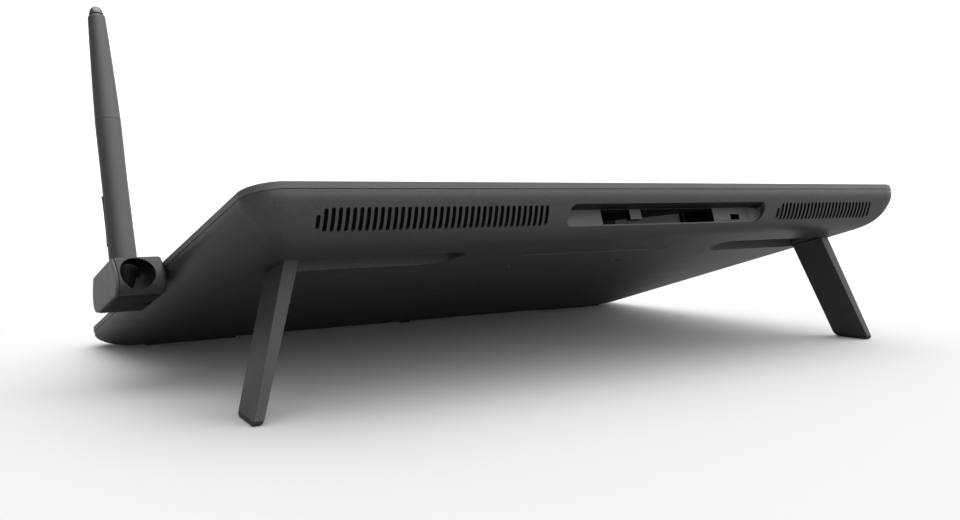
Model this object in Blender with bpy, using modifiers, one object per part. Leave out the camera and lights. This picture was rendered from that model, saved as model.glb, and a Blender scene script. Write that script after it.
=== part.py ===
"""Pen drawing tablet: a 15.6 inch pen display on two fold-out rear legs, with its pen in a side holder.

Everything is modelled in the tablet's own frame (u to the user's right, v up the slope from the front edge,
w out of the screen, with w = 0 on the screen face) under one empty that tilts it onto its feet.
"""
import math

import bmesh
import bpy
from mathutils import Matrix, Vector

MM = 0.001

# ---------------------------------------------------------------- driving dimensions
WIDTH = 417.5 * MM
BODY_CENTRE_U = 2.25 * MM
DEPTH = 285.0 * MM
CORNER_RADIUS = 15.0 * MM
TILT = math.radians(18.25)
GROUND_BELOW_EDGE = 9.0 * MM

FRAME_THICKNESS = 3.2 * MM
COVER_TOP = -3.9 * MM
COVER_LIP = -6.5 * MM
COVER_INSET = 0.3 * MM
COVER_WALL = 1.8 * MM
BACK_DEPTH_AT_FRONT = 14.0 * MM
BACK_SLOPE = 0.030
EDGE_REACH = 25.5 * MM
EDGE_POWER = 2.7
EDGE_CORNER_GROWTH = 0.9
CORNER_SEGMENTS = 8
RING_COUNT = 11

VENT_PITCH = 3.166 * MM
VENT_WIDTH = 1.75 * MM
VENT_LEFT_START = 182.3 * MM
VENT_LEFT_COUNT = 37
VENT_RIGHT_START = -94.3 * MM
VENT_RIGHT_COUNT = 27
VENT_INSET_TOP = 2.7 * MM
VENT_INSET_BOTTOM = 9.3 * MM
VENT_FIRST_SHARES = (0.60, 0.92)

BAY_LEFT = 55.4 * MM
BAY_RIGHT = -82.2 * MM
BAY_CEILING = -9.9 * MM
BAY_BOTTOM = -18.6 * MM
BAY_FACE = 272.5 * MM
BAY_CORNER = 3.9 * MM
TRAY_BACK = 251.5 * MM
TRAY_ROOF_TOP = -8.2 * MM
TRAY_ROOF_BOTTOM = -9.3 * MM
TRAY_GAP = 0.5 * MM

LEG_AXIS_U = 178.6 * MM
LEG_AXIS_HEIGHT = 3.6 * MM
LEG_V_LOW = 220.2 * MM
LEG_V_HIGH = 242.4 * MM
LEG_HEAD_RADIUS = 3.3 * MM
LEG_LENGTH = 84.0 * MM
LEG_TIP_THICKNESS = 3.9 * MM
LEG_OPEN_ANGLE = math.radians(18.3)
LEG_FOOT_HEIGHT = 2.4 * MM
PIN_RADIUS = 1.25 * MM
PIN_BORE_RADIUS = 1.32 * MM
WELL_INNER_U = 89.5 * MM
WELL_REAR_RADIUS = 5.0 * MM
WELL_SWEEP_U = 18.5 * MM
WELL_SWEEP_V = 15.5 * MM
WELL_DEPTH = 7.7 * MM
WELL_SIDE_GAP = 0.8 * MM
WELL_WALL = 1.6 * MM

MOUNT_SPACING = 75.0 * MM
MOUNT_CENTRE_V = 166.0 * MM
MOUNT_HOLE_RADIUS = 2.2 * MM

HOLDER_INNER_U = 211.5 * MM
HOLDER_OUTER_U = 233.4 * MM
HOLDER_CAP_U = 235.0 * MM
HOLDER_TOP = 1.9 * MM
HOLDER_HEIGHT = 18.0 * MM
HOLDER_V = 149.5 * MM
HOLDER_FLAT = 37.0 * MM
HOLDER_BULGE = 5.4 * MM
HOLDER_HOLE_RADIUS = 7.5 * MM
HOLDER_HOLE_W = -6.6 * MM
PEN_BORE_RADIUS = 7.6 * MM
PEN_BORE_BOTTOM = -13.8 * MM
PEN_U = 224.6 * MM
PEN_TOP = 138.0 * MM
PEN_LENGTH = 151.5 * MM

TONGUE_LOW = -8.4 * MM
TONGUE_THICKNESS = 1.4 * MM
HOLDER_SCREW_AT = (214.6 * MM, 147.0 * MM, 0)

FOOT_V_LOW = 9.0 * MM
FOOT_V_HIGH = 17.0 * MM
LABEL_HALF_U = 48.5 * MM
LABEL_V = 234.0 * MM
LABEL_HALF_V = 3.2 * MM
BUTTON_AT = (190.0 * MM, 269.0 * MM, 0)
LAMP_AT = (182.0 * MM, 269.0 * MM, 0)

ROCKER_LOW = 26.0
ROCKER_HIGH = 51.5
ROCKER_MIDDLE = (ROCKER_LOW + ROCKER_HIGH) / 2
ROCKER_PIVOT_RADIUS = 5.4
ROCKER_ANGLE = math.radians(-25)

CLEARANCE = 0.3 * MM


# ---------------------------------------------------------------- helpers
def mm(*values):
    """Values in millimetres as metres."""
    return tuple(value * MM for value in values)


def clear_scene():
    for item in list(bpy.data.objects):
        bpy.data.objects.remove(item, do_unlink=True)


def make_collection(name):
    group = bpy.data.collections.new(name)
    bpy.context.scene.collection.children.link(group)
    return group


def material(name, colour, roughness, metallic=0.0):
    mat = bpy.data.materials.new(name)
    mat.use_nodes = True
    shader = mat.node_tree.nodes["Principled BSDF"]
    shader.inputs["Base Color"].default_value = (*colour, 1.0)
    shader.inputs["Roughness"].default_value = roughness
    shader.inputs["Metallic"].default_value = metallic
    return mat


clear_scene()
PARTS = make_collection("pen_drawing_tablet")
CUTTERS = make_collection("cutters")
SHELL_GREY = material("shell_grey", (0.060, 0.060, 0.062), 0.62)


def empty(name, parent=None, location=(0, 0, 0), rotation=(0, 0, 0)):
    item = bpy.data.objects.new(name, None)
    item.empty_display_size = 0.01
    PARTS.objects.link(item)
    item.parent = parent
    item.location = location
    item.rotation_euler = rotation
    return item


def mesh_object(name, bm, parent, mat=None, cutter=False):
    """Turn a bmesh into a named part, or into a hidden cutter."""
    bmesh.ops.recalc_face_normals(bm, faces=bm.faces)
    mesh = bpy.data.meshes.new(name)
    bm.to_mesh(mesh)
    bm.free()
    item = bpy.data.objects.new(name, mesh)
    item.parent = parent
    if cutter:
        CUTTERS.objects.link(item)
        item.hide_render = True
        item.display_type = "WIRE"
    else:
        PARTS.objects.link(item)
        mesh.materials.append(mat)
        mesh.shade_smooth()
        mesh.set_sharp_from_angle(angle=math.radians(35))
    return item


def box_mesh(low, high):
    """A box between two corners."""
    bm = bmesh.new()
    bmesh.ops.create_cube(bm, size=1.0)
    size = [h - l for l, h in zip(low, high)]
    centre = [(h + l) / 2 for l, h in zip(low, high)]
    bmesh.ops.scale(bm, vec=size, verts=bm.verts)
    bmesh.ops.translate(bm, vec=centre, verts=bm.verts)
    return bm


def box(name, low, high, parent, mat=None, cutter=False, bevel=0.0):
    item = mesh_object(name, box_mesh(low, high), parent, mat, cutter)
    if bevel:
        add_bevel(item, bevel)
    return item


def cylinder_mesh(radius, low, high, axis="Z", centre=(0, 0, 0), segments=24, top_radius=None):
    """A cylinder or cone along an axis, from low to high on that axis."""
    bm = bmesh.new()
    top = radius if top_radius is None else top_radius
    bmesh.ops.create_cone(bm, cap_ends=True, segments=segments, radius1=radius, radius2=top, depth=high - low)
    bmesh.ops.translate(bm, vec=(0, 0, (high + low) / 2), verts=bm.verts)
    turn = {"X": Matrix.Rotation(math.pi / 2, 3, "Y"), "Y": Matrix.Rotation(-math.pi / 2, 3, "X")}
    if axis in turn:
        bmesh.ops.rotate(bm, cent=(0, 0, 0), matrix=turn[axis], verts=bm.verts)
    bmesh.ops.translate(bm, vec=centre, verts=bm.verts)
    return bm


def round_cutter(name, radius, low, high, axis, centre, parent, segments=24):
    """A hidden cylinder in millimetres that cuts a round hole."""
    bm = cylinder_mesh(radius * MM, low * MM, high * MM, axis, centre, segments)
    return mesh_object(name, bm, parent, cutter=True)


def join_bmeshes(pieces):
    """Several separate closed bodies in one bmesh, for use as a single cutter."""
    whole = bmesh.new()
    for piece in pieces:
        scratch = bpy.data.meshes.new("scratch")
        piece.to_mesh(scratch)
        piece.free()
        whole.from_mesh(scratch)
        bpy.data.meshes.remove(scratch)
    return whole


def add_bevel(item, width, segments=2, angle=35):
    mod = item.modifiers.new("round_edges", "BEVEL")
    mod.width = width
    mod.segments = segments
    mod.limit_method = "ANGLE"
    mod.angle_limit = math.radians(angle)
    return mod


def boolean(item, other, operation="DIFFERENCE"):
    mod = item.modifiers.new(operation.lower() + "_" + other.name, "BOOLEAN")
    mod.operation = operation
    mod.solver = "EXACT"
    mod.object = other
    return mod


def turned(name, profile, parent, mat, steps=24, location=(0, 0, 0)):
    """A turned solid about local Z from (radius, height) points, listed from the top down."""
    bm = bmesh.new()
    verts = [bm.verts.new((radius, 0, height)) for radius, height in profile]
    for upper, lower in zip(verts, verts[1:]):
        bm.edges.new((upper, lower))
    mesh = bpy.data.meshes.new(name)
    bm.to_mesh(mesh)
    bm.free()
    item = bpy.data.objects.new(name, mesh)
    PARTS.objects.link(item)
    item.parent = parent
    item.location = location
    mesh.materials.append(mat)
    screw = item.modifiers.new("turn", "SCREW")
    screw.axis = "Z"
    screw.angle = 2 * math.pi
    screw.steps = steps
    screw.render_steps = steps
    screw.use_merge_vertices = True
    screw.merge_threshold = 0.00001
    screw.use_smooth_shade = True
    return item


def rounded_outline(half_u, low_v, high_v, radius, segments=CORNER_SEGMENTS):
    """Points round a rectangle with round corners, anticlockwise from the user's rear right corner."""
    radius = max(radius, 0.05 * MM)
    centres = (
        (half_u - radius, high_v - radius, 0),
        (-half_u + radius, high_v - radius, 90),
        (-half_u + radius, low_v + radius, 180),
        (half_u - radius, low_v + radius, 270),
    )
    points = []
    for cu, cv, start in centres:
        for step in range(segments + 1):
            angle = math.radians(start + 90 * step / segments)
            points.append((cu + radius * math.cos(angle), cv + radius * math.sin(angle)))
    return points


def body_outline(inset, radius=None):
    """The tablet's outline, moved inward by an inset; its middle is a little towards the pen holder."""
    if radius is None:
        radius = CORNER_RADIUS - inset
    outline = rounded_outline(WIDTH / 2 - inset, inset, DEPTH - inset, radius)
    return [(u + BODY_CENTRE_U, v) for u, v in outline]


def loft(rings, closed=False, cap_first=True):
    """Join rings of equal length with quads; close into a ring section, or cap the ends."""
    bm = bmesh.new()
    loops = [[bm.verts.new(point) for point in ring] for ring in rings]
    count = len(loops[0])
    pairs = list(zip(loops, loops[1:]))
    if closed:
        pairs.append((loops[-1], loops[0]))
    for first, second in pairs:
        for index in range(count):
            following = (index + 1) % count
            bm.faces.new((first[index], first[following], second[following], second[index]))
    if not closed:
        bm.faces.new(loops[-1])
        if cap_first:
            bm.faces.new(loops[0])
    return bm


def flat_ring(inset, w, radius=None):
    return [(u, v, w) for u, v in body_outline(inset, radius)]


def back_depth(v):
    """Depth of the sloping back below the screen face at a place up the slope."""
    return BACK_DEPTH_AT_FRONT + BACK_SLOPE * v


def cover_height(inset, v):
    """Height w of the cover's outer skin at an inset from the outline."""
    share = min(max(inset - COVER_INSET, 0.0) / EDGE_REACH, 1.0)
    fall = 1.0 - (1.0 - share) ** EDGE_POWER
    return COVER_LIP - (back_depth(v) + COVER_LIP) * fall


# ---------------------------------------------------------------- frames
FOOT_CENTRE_Y = (FOOT_V_LOW + FOOT_V_HIGH) / 2 / math.cos(TILT) + GROUND_BELOW_EDGE * math.tan(TILT)
TABLET = empty("tablet_frame", None, (0, -FOOT_CENTRE_Y, GROUND_BELOW_EDGE), (TILT, 0, 0))
BACK_ANGLE = math.atan(BACK_SLOPE)
BACK = empty("back_plane", TABLET, (0, 0, -BACK_DEPTH_AT_FRONT), (-BACK_ANGLE, 0, 0))


# ---------------------------------------------------------------- front and screen
def make_front_frame():
    """The rim: a shallow ring with a ledge that carries the cover sheet."""
    section = (
        (0.0, -FRAME_THICKNESS), (0.0, -0.7 * MM), (0.2 * MM, -0.2 * MM), (0.7 * MM, 0.0),
        (2.3 * MM, 0.0), (2.3 * MM, -1.9 * MM), (8.0 * MM, -1.9 * MM), (8.0 * MM, -FRAME_THICKNESS),
    )
    bm = loft([flat_ring(inset, w) for inset, w in section], closed=True)
    return mesh_object("front_frame", bm, TABLET, material("rim_grey", (0.10, 0.10, 0.105), 0.5))


def make_cover_sheet():
    inset = 2.6 * MM
    bm = loft([flat_ring(inset, -0.1 * MM), flat_ring(inset, -1.6 * MM)])
    sheet = mesh_object("cover_sheet", bm, TABLET, material("sheet_black", (0.012, 0.012, 0.014), 0.35))
    hole = round_cutter("button_hole", 3.8, -3, 1, "Z", BUTTON_AT, TABLET)
    lamp = mesh_object("lamp_hole", cylinder_mesh(1.3 * MM, -3 * MM, 1 * MM, centre=LAMP_AT, segments=16),
                       TABLET, cutter=True)
    boolean(sheet, hole)
    boolean(sheet, lamp)
    return sheet


def make_power_button():
    profile = (
        (0, -0.3 * MM), (3.1 * MM, -0.3 * MM), (3.4 * MM, -0.6 * MM), (3.4 * MM, -1.8 * MM),
        (1.5 * MM, -1.8 * MM), (1.5 * MM, -4.3 * MM), (0, -4.3 * MM),
    )
    turned("power_button", profile, TABLET, material("button_grey", (0.15, 0.15, 0.155), 0.4), 20, BUTTON_AT)
    lamp = ((0, -0.2 * MM), (1.0 * MM, -0.2 * MM), (1.0 * MM, -4.4 * MM), (0, -4.4 * MM))
    turned("power_lamp", lamp, TABLET, material("lamp_white", (0.75, 0.78, 0.8), 0.3), 12, LAMP_AT)
    low = mm(178.0, 262.0, -6.4)
    high = mm(195.0, 275.0, -5.2)
    box("button_board", low, high, TABLET, material("board_green", (0.03, 0.12, 0.07), 0.5))


def make_display_stack():
    """The flat layers under the cover sheet, from the panel down to the shield."""
    glass = material("panel_black", (0.01, 0.01, 0.012), 0.2)
    acrylic = material("guide_clear", (0.8, 0.82, 0.84), 0.15)
    steel = material("shield_steel", (0.55, 0.56, 0.57), 0.4, 1.0)
    green = material("sensor_green", (0.02, 0.10, 0.06), 0.5)
    box("display_panel", mm(-178, 46, -3.5), mm(178, 249, -2.0), TABLET, glass)
    box("light_guide", mm(-176, 48, -5.6), mm(176, 247, -3.8), TABLET, acrylic)
    make_backlight_tray(material("tray_silver", (0.7, 0.7, 0.72), 0.35, 1.0))
    box("sensor_board", mm(-180, 44, -8.0), mm(180, 250, -7.0), TABLET, green)
    shield = box("shield_plate", mm(-178, 46, -9.1), mm(178, 248, -8.3), TABLET, steel)
    cut_shield_windows(shield)


def make_backlight_tray(mat):
    """A shallow folded pan that holds the light guide."""
    outer = rounded_outline(177.5 * MM, 46.5 * MM, 248.5 * MM, 0.5 * MM, 1)
    inner = rounded_outline(176.3 * MM, 47.7 * MM, 247.3 * MM, 0.4 * MM, 1)
    rings = (
        [(u, v, -6.0 * MM) for u, v in inner],
        [(u, v, -3.8 * MM) for u, v in inner],
        [(u, v, -3.8 * MM) for u, v in outer],
        [(u, v, -6.7 * MM) for u, v in outer],
    )
    mesh_object("backlight_tray", loft(rings), TABLET, mat)


def cut_shield_windows(shield):
    """Two windows in the shield where the flat cable and the sensor leads pass."""
    cable = box_mesh(mm(-22, 228, -10), mm(22, 236, -7.5))
    leads = box_mesh(mm(-120, 150, -10), mm(-84, 156, -7.5))
    windows = mesh_object("shield_windows", join_bmeshes([cable, leads]), TABLET, cutter=True)
    boolean(shield, windows)


def make_main_board():
    """The main board with its chips and connectors as one soldered assembly."""
    board = box("main_board", mm(-62, 150, -11.2), mm(58, 222, -9.9), TABLET,
                material("main_green", (0.02, 0.11, 0.07), 0.45))
    chips = (
        ((-40, 176), (-22, 194), 1.8), ((-8, 184), (4, 196), 1.4), ((14, 160), (30, 170), 2.4),
        ((36, 190), (50, 214), 2.0), ((-56, 156), (-46, 168), 1.6), ((-14, 158), (-6, 172), 1.2),
    )
    blocks = []
    for (u0, v0), (u1, v1), depth in chips:
        blocks.append(box_mesh((u0 * MM, v0 * MM, -(11.2 + depth) * MM), (u1 * MM, v1 * MM, -10.8 * MM)))
    boolean(board, mesh_object("chips", join_bmeshes(blocks), TABLET, cutter=True), "UNION")


def make_display_cable():
    """A flat flexible cable that drops through the shield to the underside of the main board."""
    bm = bmesh.new()
    half = 16 * MM
    rows = []
    for v, w in ((232.0, -8.3), (232.0, -10.5), (229.5, -12.0), (224.0, -12.2), (216.0, -11.6)):
        rows.append((bm.verts.new((-half, v * MM, w * MM)), bm.verts.new((half, v * MM, w * MM))))
    for (a, b), (c, d) in zip(rows, rows[1:]):
        bm.faces.new((a, b, d, c))
    cable = mesh_object("display_cable", bm, TABLET, material("cable_amber", (0.45, 0.25, 0.06), 0.4))
    thick = cable.modifiers.new("thickness", "SOLIDIFY")
    thick.thickness = 0.3 * MM
    thick.offset = 0


# ---------------------------------------------------------------- rear cover
def cover_skin():
    """The bowl-shaped outer skin: rings that follow the falling edge profile down to the flat back."""
    rings = [[(u, v, COVER_TOP) for u, v in body_outline(COVER_INSET)]]
    for step in range(RING_COUNT + 1):
        inset = COVER_INSET + EDGE_REACH * (step / RING_COUNT) ** 1.6
        share = (inset - COVER_INSET) / EDGE_REACH
        radius = CORNER_RADIUS - inset + EDGE_CORNER_GROWTH * EDGE_REACH * share ** 2
        rings.append([(u, v, cover_height(inset, v)) for u, v in body_outline(inset, radius)])
    return loft(rings, cap_first=False)


def make_rear_cover():
    cover = mesh_object("rear_cover", cover_skin(), TABLET, SHELL_GREY)
    point_outward(cover.data)
    wall = cover.modifiers.new("wall", "SOLIDIFY")
    wall.thickness = COVER_WALL
    wall.offset = -1
    wall.use_even_offset = True
    boolean(cover, make_well_blocks(), "UNION")
    boolean(cover, make_insert_bosses(), "UNION")
    boolean(cover, make_well_cutters())
    boolean(cover, make_vent_cutters())
    boolean(cover, bay_prism("bay_opening", 0.0, 262 * MM, 292 * MM))
    for cutter in make_back_cutters():
        boolean(cover, cutter)
    return cover


def point_outward(mesh):
    """Make the open skin's faces point away from the inside of the body."""
    bm = bmesh.new()
    bm.from_mesh(mesh)
    back = max(bm.faces, key=lambda face: face.calc_area())
    if back.normal.z > 0:
        bmesh.ops.reverse_faces(bm, faces=bm.faces)
    bm.to_mesh(mesh)
    bm.free()


def well_stop_u(height, gap):
    """Where the well's outer end wall stands: parallel to the opened leg's outer face."""
    reach = (LEG_HEAD_RADIUS + gap) / math.cos(LEG_OPEN_ANGLE)
    return LEG_AXIS_U + reach + (LEG_AXIS_HEIGHT - height) * math.tan(LEG_OPEN_ANGLE)


def well_prism(side, grow, low_z, high_z):
    """The well's volume: swept round at the inner end, sloping at the outer end."""
    inner = WELL_INNER_U - grow
    low_v = LEG_V_LOW - WELL_SIDE_GAP - grow
    high_v = LEG_V_HIGH + WELL_SIDE_GAP + grow
    corners = (
        (WELL_SWEEP_U + grow, WELL_SWEEP_V + grow, low_v + WELL_SWEEP_V + grow, 270),
        (WELL_REAR_RADIUS + grow, WELL_REAR_RADIUS + grow, high_v - WELL_REAR_RADIUS - grow, 180),
    )
    rings = []
    for height in (low_z, high_z):
        outer = well_stop_u(height, CLEARANCE + grow)
        ring = [(outer, high_v), (outer, low_v)]
        for reach_u, reach_v, centre_v, start in corners:
            for step in range(9):
                angle = math.radians(start - 90 * step / 8)
                u = inner + reach_u + reach_u * math.cos(angle)
                ring.append((u, centre_v + reach_v * math.sin(angle)))
        rings.append([(side * u, v, height) for u, v in ring])
    bm = loft(rings)
    bmesh.ops.recalc_face_normals(bm, faces=bm.faces)
    return bm


def make_well_blocks():
    """Solid blocks inside the cover that become the walls of the two leg wells."""
    blocks = [well_prism(side, WELL_WALL, 0.6 * MM, WELL_DEPTH + WELL_WALL) for side in (1, -1)]
    return mesh_object("well_blocks", join_bmeshes(blocks), BACK, cutter=True)


def make_well_cutters():
    """The wells and the pin holes in their side walls."""
    cutters = [well_prism(side, 0.0, -2 * MM, WELL_DEPTH) for side in (1, -1)]
    item = mesh_object("wells", join_bmeshes(cutters), BACK, cutter=True)
    pins = []
    middle = (LEG_V_LOW + LEG_V_HIGH) / 2
    half = (LEG_V_HIGH - LEG_V_LOW) / 2 + WELL_SIDE_GAP + 1.1 * MM
    for side in (1, -1):
        centre = (side * LEG_AXIS_U, middle, LEG_AXIS_HEIGHT)
        pins.append(cylinder_mesh(PIN_BORE_RADIUS, -half, half, "Y", centre))
    holes = mesh_object("pin_holes", join_bmeshes(pins), BACK, cutter=True)
    boolean(item, holes, "UNION")
    return item


def make_vent_cutters():
    """Rows of slots along the slanted rear wall; the first ones of each group are shorter."""
    v_top = DEPTH - VENT_INSET_TOP
    v_bottom = DEPTH - VENT_INSET_BOTTOM
    w_top = cover_height(VENT_INSET_TOP, v_top)
    w_bottom = cover_height(VENT_INSET_BOTTOM, v_bottom)
    along = Vector((0, v_top - v_bottom, w_top - w_bottom))
    length = along.length
    along.normalize()
    across = Vector((1, 0, 0))
    out = across.cross(along)
    centre = Vector((0, (v_top + v_bottom) / 2, (w_top + w_bottom) / 2))
    slots = []
    for start, count in ((VENT_LEFT_START, VENT_LEFT_COUNT), (VENT_RIGHT_START, VENT_RIGHT_COUNT)):
        for index in range(count):
            share = VENT_FIRST_SHARES[index] if index < len(VENT_FIRST_SHARES) else 1.0
            slot = slot_prism(length * share, VENT_WIDTH, 7.0 * MM)
            basis = Matrix((across, along, out)).transposed().to_4x4()
            place = Matrix.Translation(centre + across * (start - index * VENT_PITCH))
            bmesh.ops.transform(slot, matrix=place @ basis, verts=slot.verts)
            slots.append(slot)
    return mesh_object("vents", join_bmeshes(slots), TABLET, cutter=True)


def slot_prism(length, width, thickness, segments=3):
    """A slot with round ends: long along Y, wide along X, thick along Z."""
    radius = width / 2
    outline = []
    for centre_y, start in ((length / 2 - radius, 0), (-length / 2 + radius, 180)):
        for step in range(segments + 1):
            angle = math.radians(start + 180 * step / segments)
            outline.append((radius * math.cos(angle), centre_y + radius * math.sin(angle)))
    rings = [[(x, y, z) for x, y in outline] for z in (-thickness / 2, thickness / 2)]
    bm = loft(rings)
    bmesh.ops.recalc_face_normals(bm, faces=bm.faces)
    return bm


def bay_prism(name, shrink, low_v, high_v):
    """The port bay's opening: straight along v, with round corners."""
    centre_u = (BAY_LEFT + BAY_RIGHT) / 2
    half_u = (BAY_LEFT - BAY_RIGHT) / 2 - shrink
    outline = rounded_outline(half_u, BAY_BOTTOM + shrink, BAY_CEILING - shrink, BAY_CORNER - shrink, 5)
    rings = [[(centre_u + u, v, w) for u, w in outline] for v in (low_v, high_v)]
    return mesh_object(name, loft(rings), TABLET, cutter=True)


def make_insert_bosses():
    """Round bosses inside the back for the four mounting inserts."""
    bosses = []
    for u, v in mount_places():
        bosses.append(cylinder_mesh(4.6 * MM, 0.6 * MM, 6.0 * MM, centre=(u, v, 0), segments=20))
    return mesh_object("bosses", join_bmeshes(bosses), BACK, cutter=True)


def mount_places():
    half = MOUNT_SPACING / 2
    return [(u, MOUNT_CENTRE_V + v) for u in (half, -half) for v in (-half, half)]


def round_bore(u, v, steps, segments=20):
    """A stepped round cutter in the back plane's frame, from (radius, height) pairs going inward."""
    rings = []
    for radius, height in steps:
        ring = []
        for index in range(segments):
            angle = 2 * math.pi * index / segments
            ring.append((u + radius * math.cos(angle), v + radius * math.sin(angle), height))
        rings.append(ring)
    bm = loft(rings)
    bmesh.ops.recalc_face_normals(bm, faces=bm.faces)
    return bm


def make_back_cutters():
    """Cutters for the mounting holes, the label recess with its finger notch, and the two holder slots."""
    steps = ((MOUNT_HOLE_RADIUS, -1 * MM), (MOUNT_HOLE_RADIUS, 2 * MM))
    steps += (mm(3.3, 2), mm(3.3, 8))
    bores = [round_bore(u, v, steps) for u, v in mount_places()]
    holes = mesh_object("mount_holes", join_bmeshes(bores), BACK, cutter=True)
    low = (-LABEL_HALF_U, LABEL_V - LABEL_HALF_V, -1 * MM)
    high = (LABEL_HALF_U, LABEL_V + LABEL_HALF_V, 0.8 * MM)
    label = box("label_recess", low, high, BACK, cutter=True)
    notch = round_bore(LABEL_HALF_U, LABEL_V - 1.4 * MM, ((1.6 * MM, -1 * MM), (1.6 * MM, 0.8 * MM)), 12)
    notch = mesh_object("label_notch", notch, BACK, cutter=True)
    low = (-214 * MM, HOLDER_V - 9.3 * MM, TONGUE_LOW - CLEARANCE)
    high = (-200 * MM, HOLDER_V + 9.3 * MM, TONGUE_LOW + TONGUE_THICKNESS + CLEARANCE)
    slots = box("side_slots", low, high, TABLET, cutter=True)
    mirror = slots.modifiers.new("both_sides", "MIRROR")
    mirror.merge_threshold = 0.0001
    return holes, label, notch, slots


def make_mount_inserts():
    """Threaded inserts behind the four mounting holes, drawn as plain sleeves."""
    brass = material("insert_brass", (0.65, 0.48, 0.22), 0.35, 1.0)
    for index, (u, v) in enumerate(mount_places(), 1):
        shape = cylinder_mesh(3.2 * MM, 2.1 * MM, 5.9 * MM, centre=(u, v, 0), segments=20)
        sleeve = mesh_object("mount_insert_%d" % index, shape, BACK, brass)
        bore = round_cutter("insert_bore_%d" % index, 1.7, 1, 7, "Z", (u, v, 0), BACK, 16)
        boolean(sleeve, bore)


def make_label_strip():
    low = (-LABEL_HALF_U + CLEARANCE, LABEL_V - LABEL_HALF_V + CLEARANCE, 0.15 * MM)
    high = (LABEL_HALF_U - CLEARANCE, LABEL_V + LABEL_HALF_V - CLEARANCE, 0.5 * MM)
    box("label_strip", low, high, BACK, material("label_grey", (0.07, 0.07, 0.07), 0.5))


# ---------------------------------------------------------------- port bay
def inner_skin_point(inset, gap):
    """A point (v, w) at a gap inside the rear wall's inner face."""
    v = DEPTH - inset
    step = 0.1 * MM
    rise = cover_height(inset + step, v - step) - cover_height(inset, v)
    length = math.hypot(step, rise)
    depth = COVER_WALL + gap
    return v + rise / length * depth, cover_height(inset, v) + step / length * depth


def make_port_tray():
    """The moulding inside the port bay: two blocks, a hook, a slanted cable ramp and two socket pockets."""
    side = 2.5 * MM
    low_w = BAY_BOTTOM + CLEARANCE
    outline = [(TRAY_BACK, low_w), (TRAY_BACK, TRAY_ROOF_TOP)]
    for index in range(15):
        v, w = inner_skin_point((0.8 + 1.2 * index) * MM, TRAY_GAP)
        if low_w < w < TRAY_ROOF_TOP:
            outline.append((v, w))
    outline.append((outline[-1][0] - 1.5 * MM, low_w))
    rings = [[(u, v, w) for v, w in outline] for u in (BAY_RIGHT - side, BAY_LEFT + side)]
    tray = mesh_object("port_tray", loft(rings), TABLET, material("tray_grey", (0.12, 0.12, 0.125), 0.55))
    boolean(tray, bay_prism("bay_room", 0.0, BAY_FACE, 292 * MM))
    boolean(tray, bay_prism("bay_blocks", CLEARANCE, 262 * MM, BAY_FACE), "UNION")
    boolean(tray, make_channel_cutter())
    for cutter in make_socket_cutters():
        boolean(tray, cutter)
    return tray


def make_channel_cutter():
    """The cable channel seen in plan: deep at both pockets, with the slanted ramp wall between them."""
    plan = (
        (29.4, 300), (29.4, 253), (2.9, 253), (-33.4, 263.4), (-33.4, 266.2), (-34.8, 266.2),
        (-34.8, 253), (-49.0, 253), (-49.0, 300),
    )
    rings = [[(u * MM, v * MM, w) for u, v in plan] for w in (BAY_BOTTOM + 1.1 * MM, TRAY_ROOF_BOTTOM)]
    channel = mesh_object("channel", loft(rings), TABLET, cutter=True)
    hook = box("hook", mm(2.9, 269.5, -15.1), (10.5 * MM, BAY_FACE, -6 * MM), TABLET, cutter=True)
    boolean(channel, hook)
    return channel


def make_socket_cutters():
    """Seats for the power jack, the combined port and the lock plate, and the security slot."""
    jack = box("jack_seat", mm(25, 255.0, -16.9), mm(41.3, 267.5, -9.6), TABLET, cutter=True)
    port = box("port_seat", mm(-61.3, 254.5, -16.4), mm(-45, 267.0, -9.8), TABLET, cutter=True)
    slot = box("lock_slot", mm(-69.0, 267.0, -16.6), mm(-62.2, 280, -13.5), TABLET, cutter=True)
    seat = box("lock_seat", mm(-74.0, 264.0, -30), mm(-62.0, 267.9, -10.4), TABLET, cutter=True)
    return jack, port, slot, seat


def make_ports():
    """The sockets face each other across the cable channel."""
    black = material("socket_black", (0.02, 0.02, 0.02), 0.4)
    jack = box("dc_jack", mm(29.7, 255.3, -16.6), mm(41.0, 267.2, -9.9), TABLET, black)
    centre = (0, 261.2 * MM, -13.2 * MM)
    bore = round_cutter("jack_bore", 2.75, 28, 38.5, "X", centre, TABLET, 20)
    post = round_cutter("jack_post", 0.85, 31, 42, "X", centre, TABLET, 12)
    boolean(bore, post)
    boolean(jack, bore)
    port = box("combo_port", mm(-61.0, 254.8, -16.1), mm(-49.3, 266.7, -10.1), TABLET,
               material("port_steel", (0.6, 0.6, 0.62), 0.3, 1.0))
    mouth = box("port_mouth", mm(-58.5, 255.5, -15.4), mm(-45, 266.0, -10.8), TABLET,
                cutter=True)
    blade = box("port_blade", mm(-60, 257.5, -13.6), mm(-50.6, 264.0, -12.6), TABLET,
                cutter=True)
    boolean(mouth, blade)
    boolean(port, mouth)
    plate = box("lock_plate", mm(-73.7, 264.9, -17.4), mm(-62.3, 266.4, -10.7), TABLET,
                material("lock_steel", (0.5, 0.5, 0.52), 0.35, 1.0))
    opening = box("lock_opening", mm(-68.9, 260, -16.5), mm(-62.9, 270, -13.6), TABLET,
                  cutter=True)
    boolean(plate, opening)
    box("port_board", mm(-82, 238, -11.6), (52 * MM, TRAY_BACK - CLEARANCE, -10.4 * MM), TABLET,
        material("port_green", (0.02, 0.10, 0.07), 0.5))


# ---------------------------------------------------------------- legs
def leg_outline(reach):
    """Half thickness limits of the leg at a distance from its axis: (outer face, inner face)."""
    share = reach / LEG_LENGTH
    taper = (2 * LEG_HEAD_RADIUS - LEG_TIP_THICKNESS) * (1 - share)
    return LEG_HEAD_RADIUS, LEG_HEAD_RADIUS - LEG_TIP_THICKNESS - taper


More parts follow.
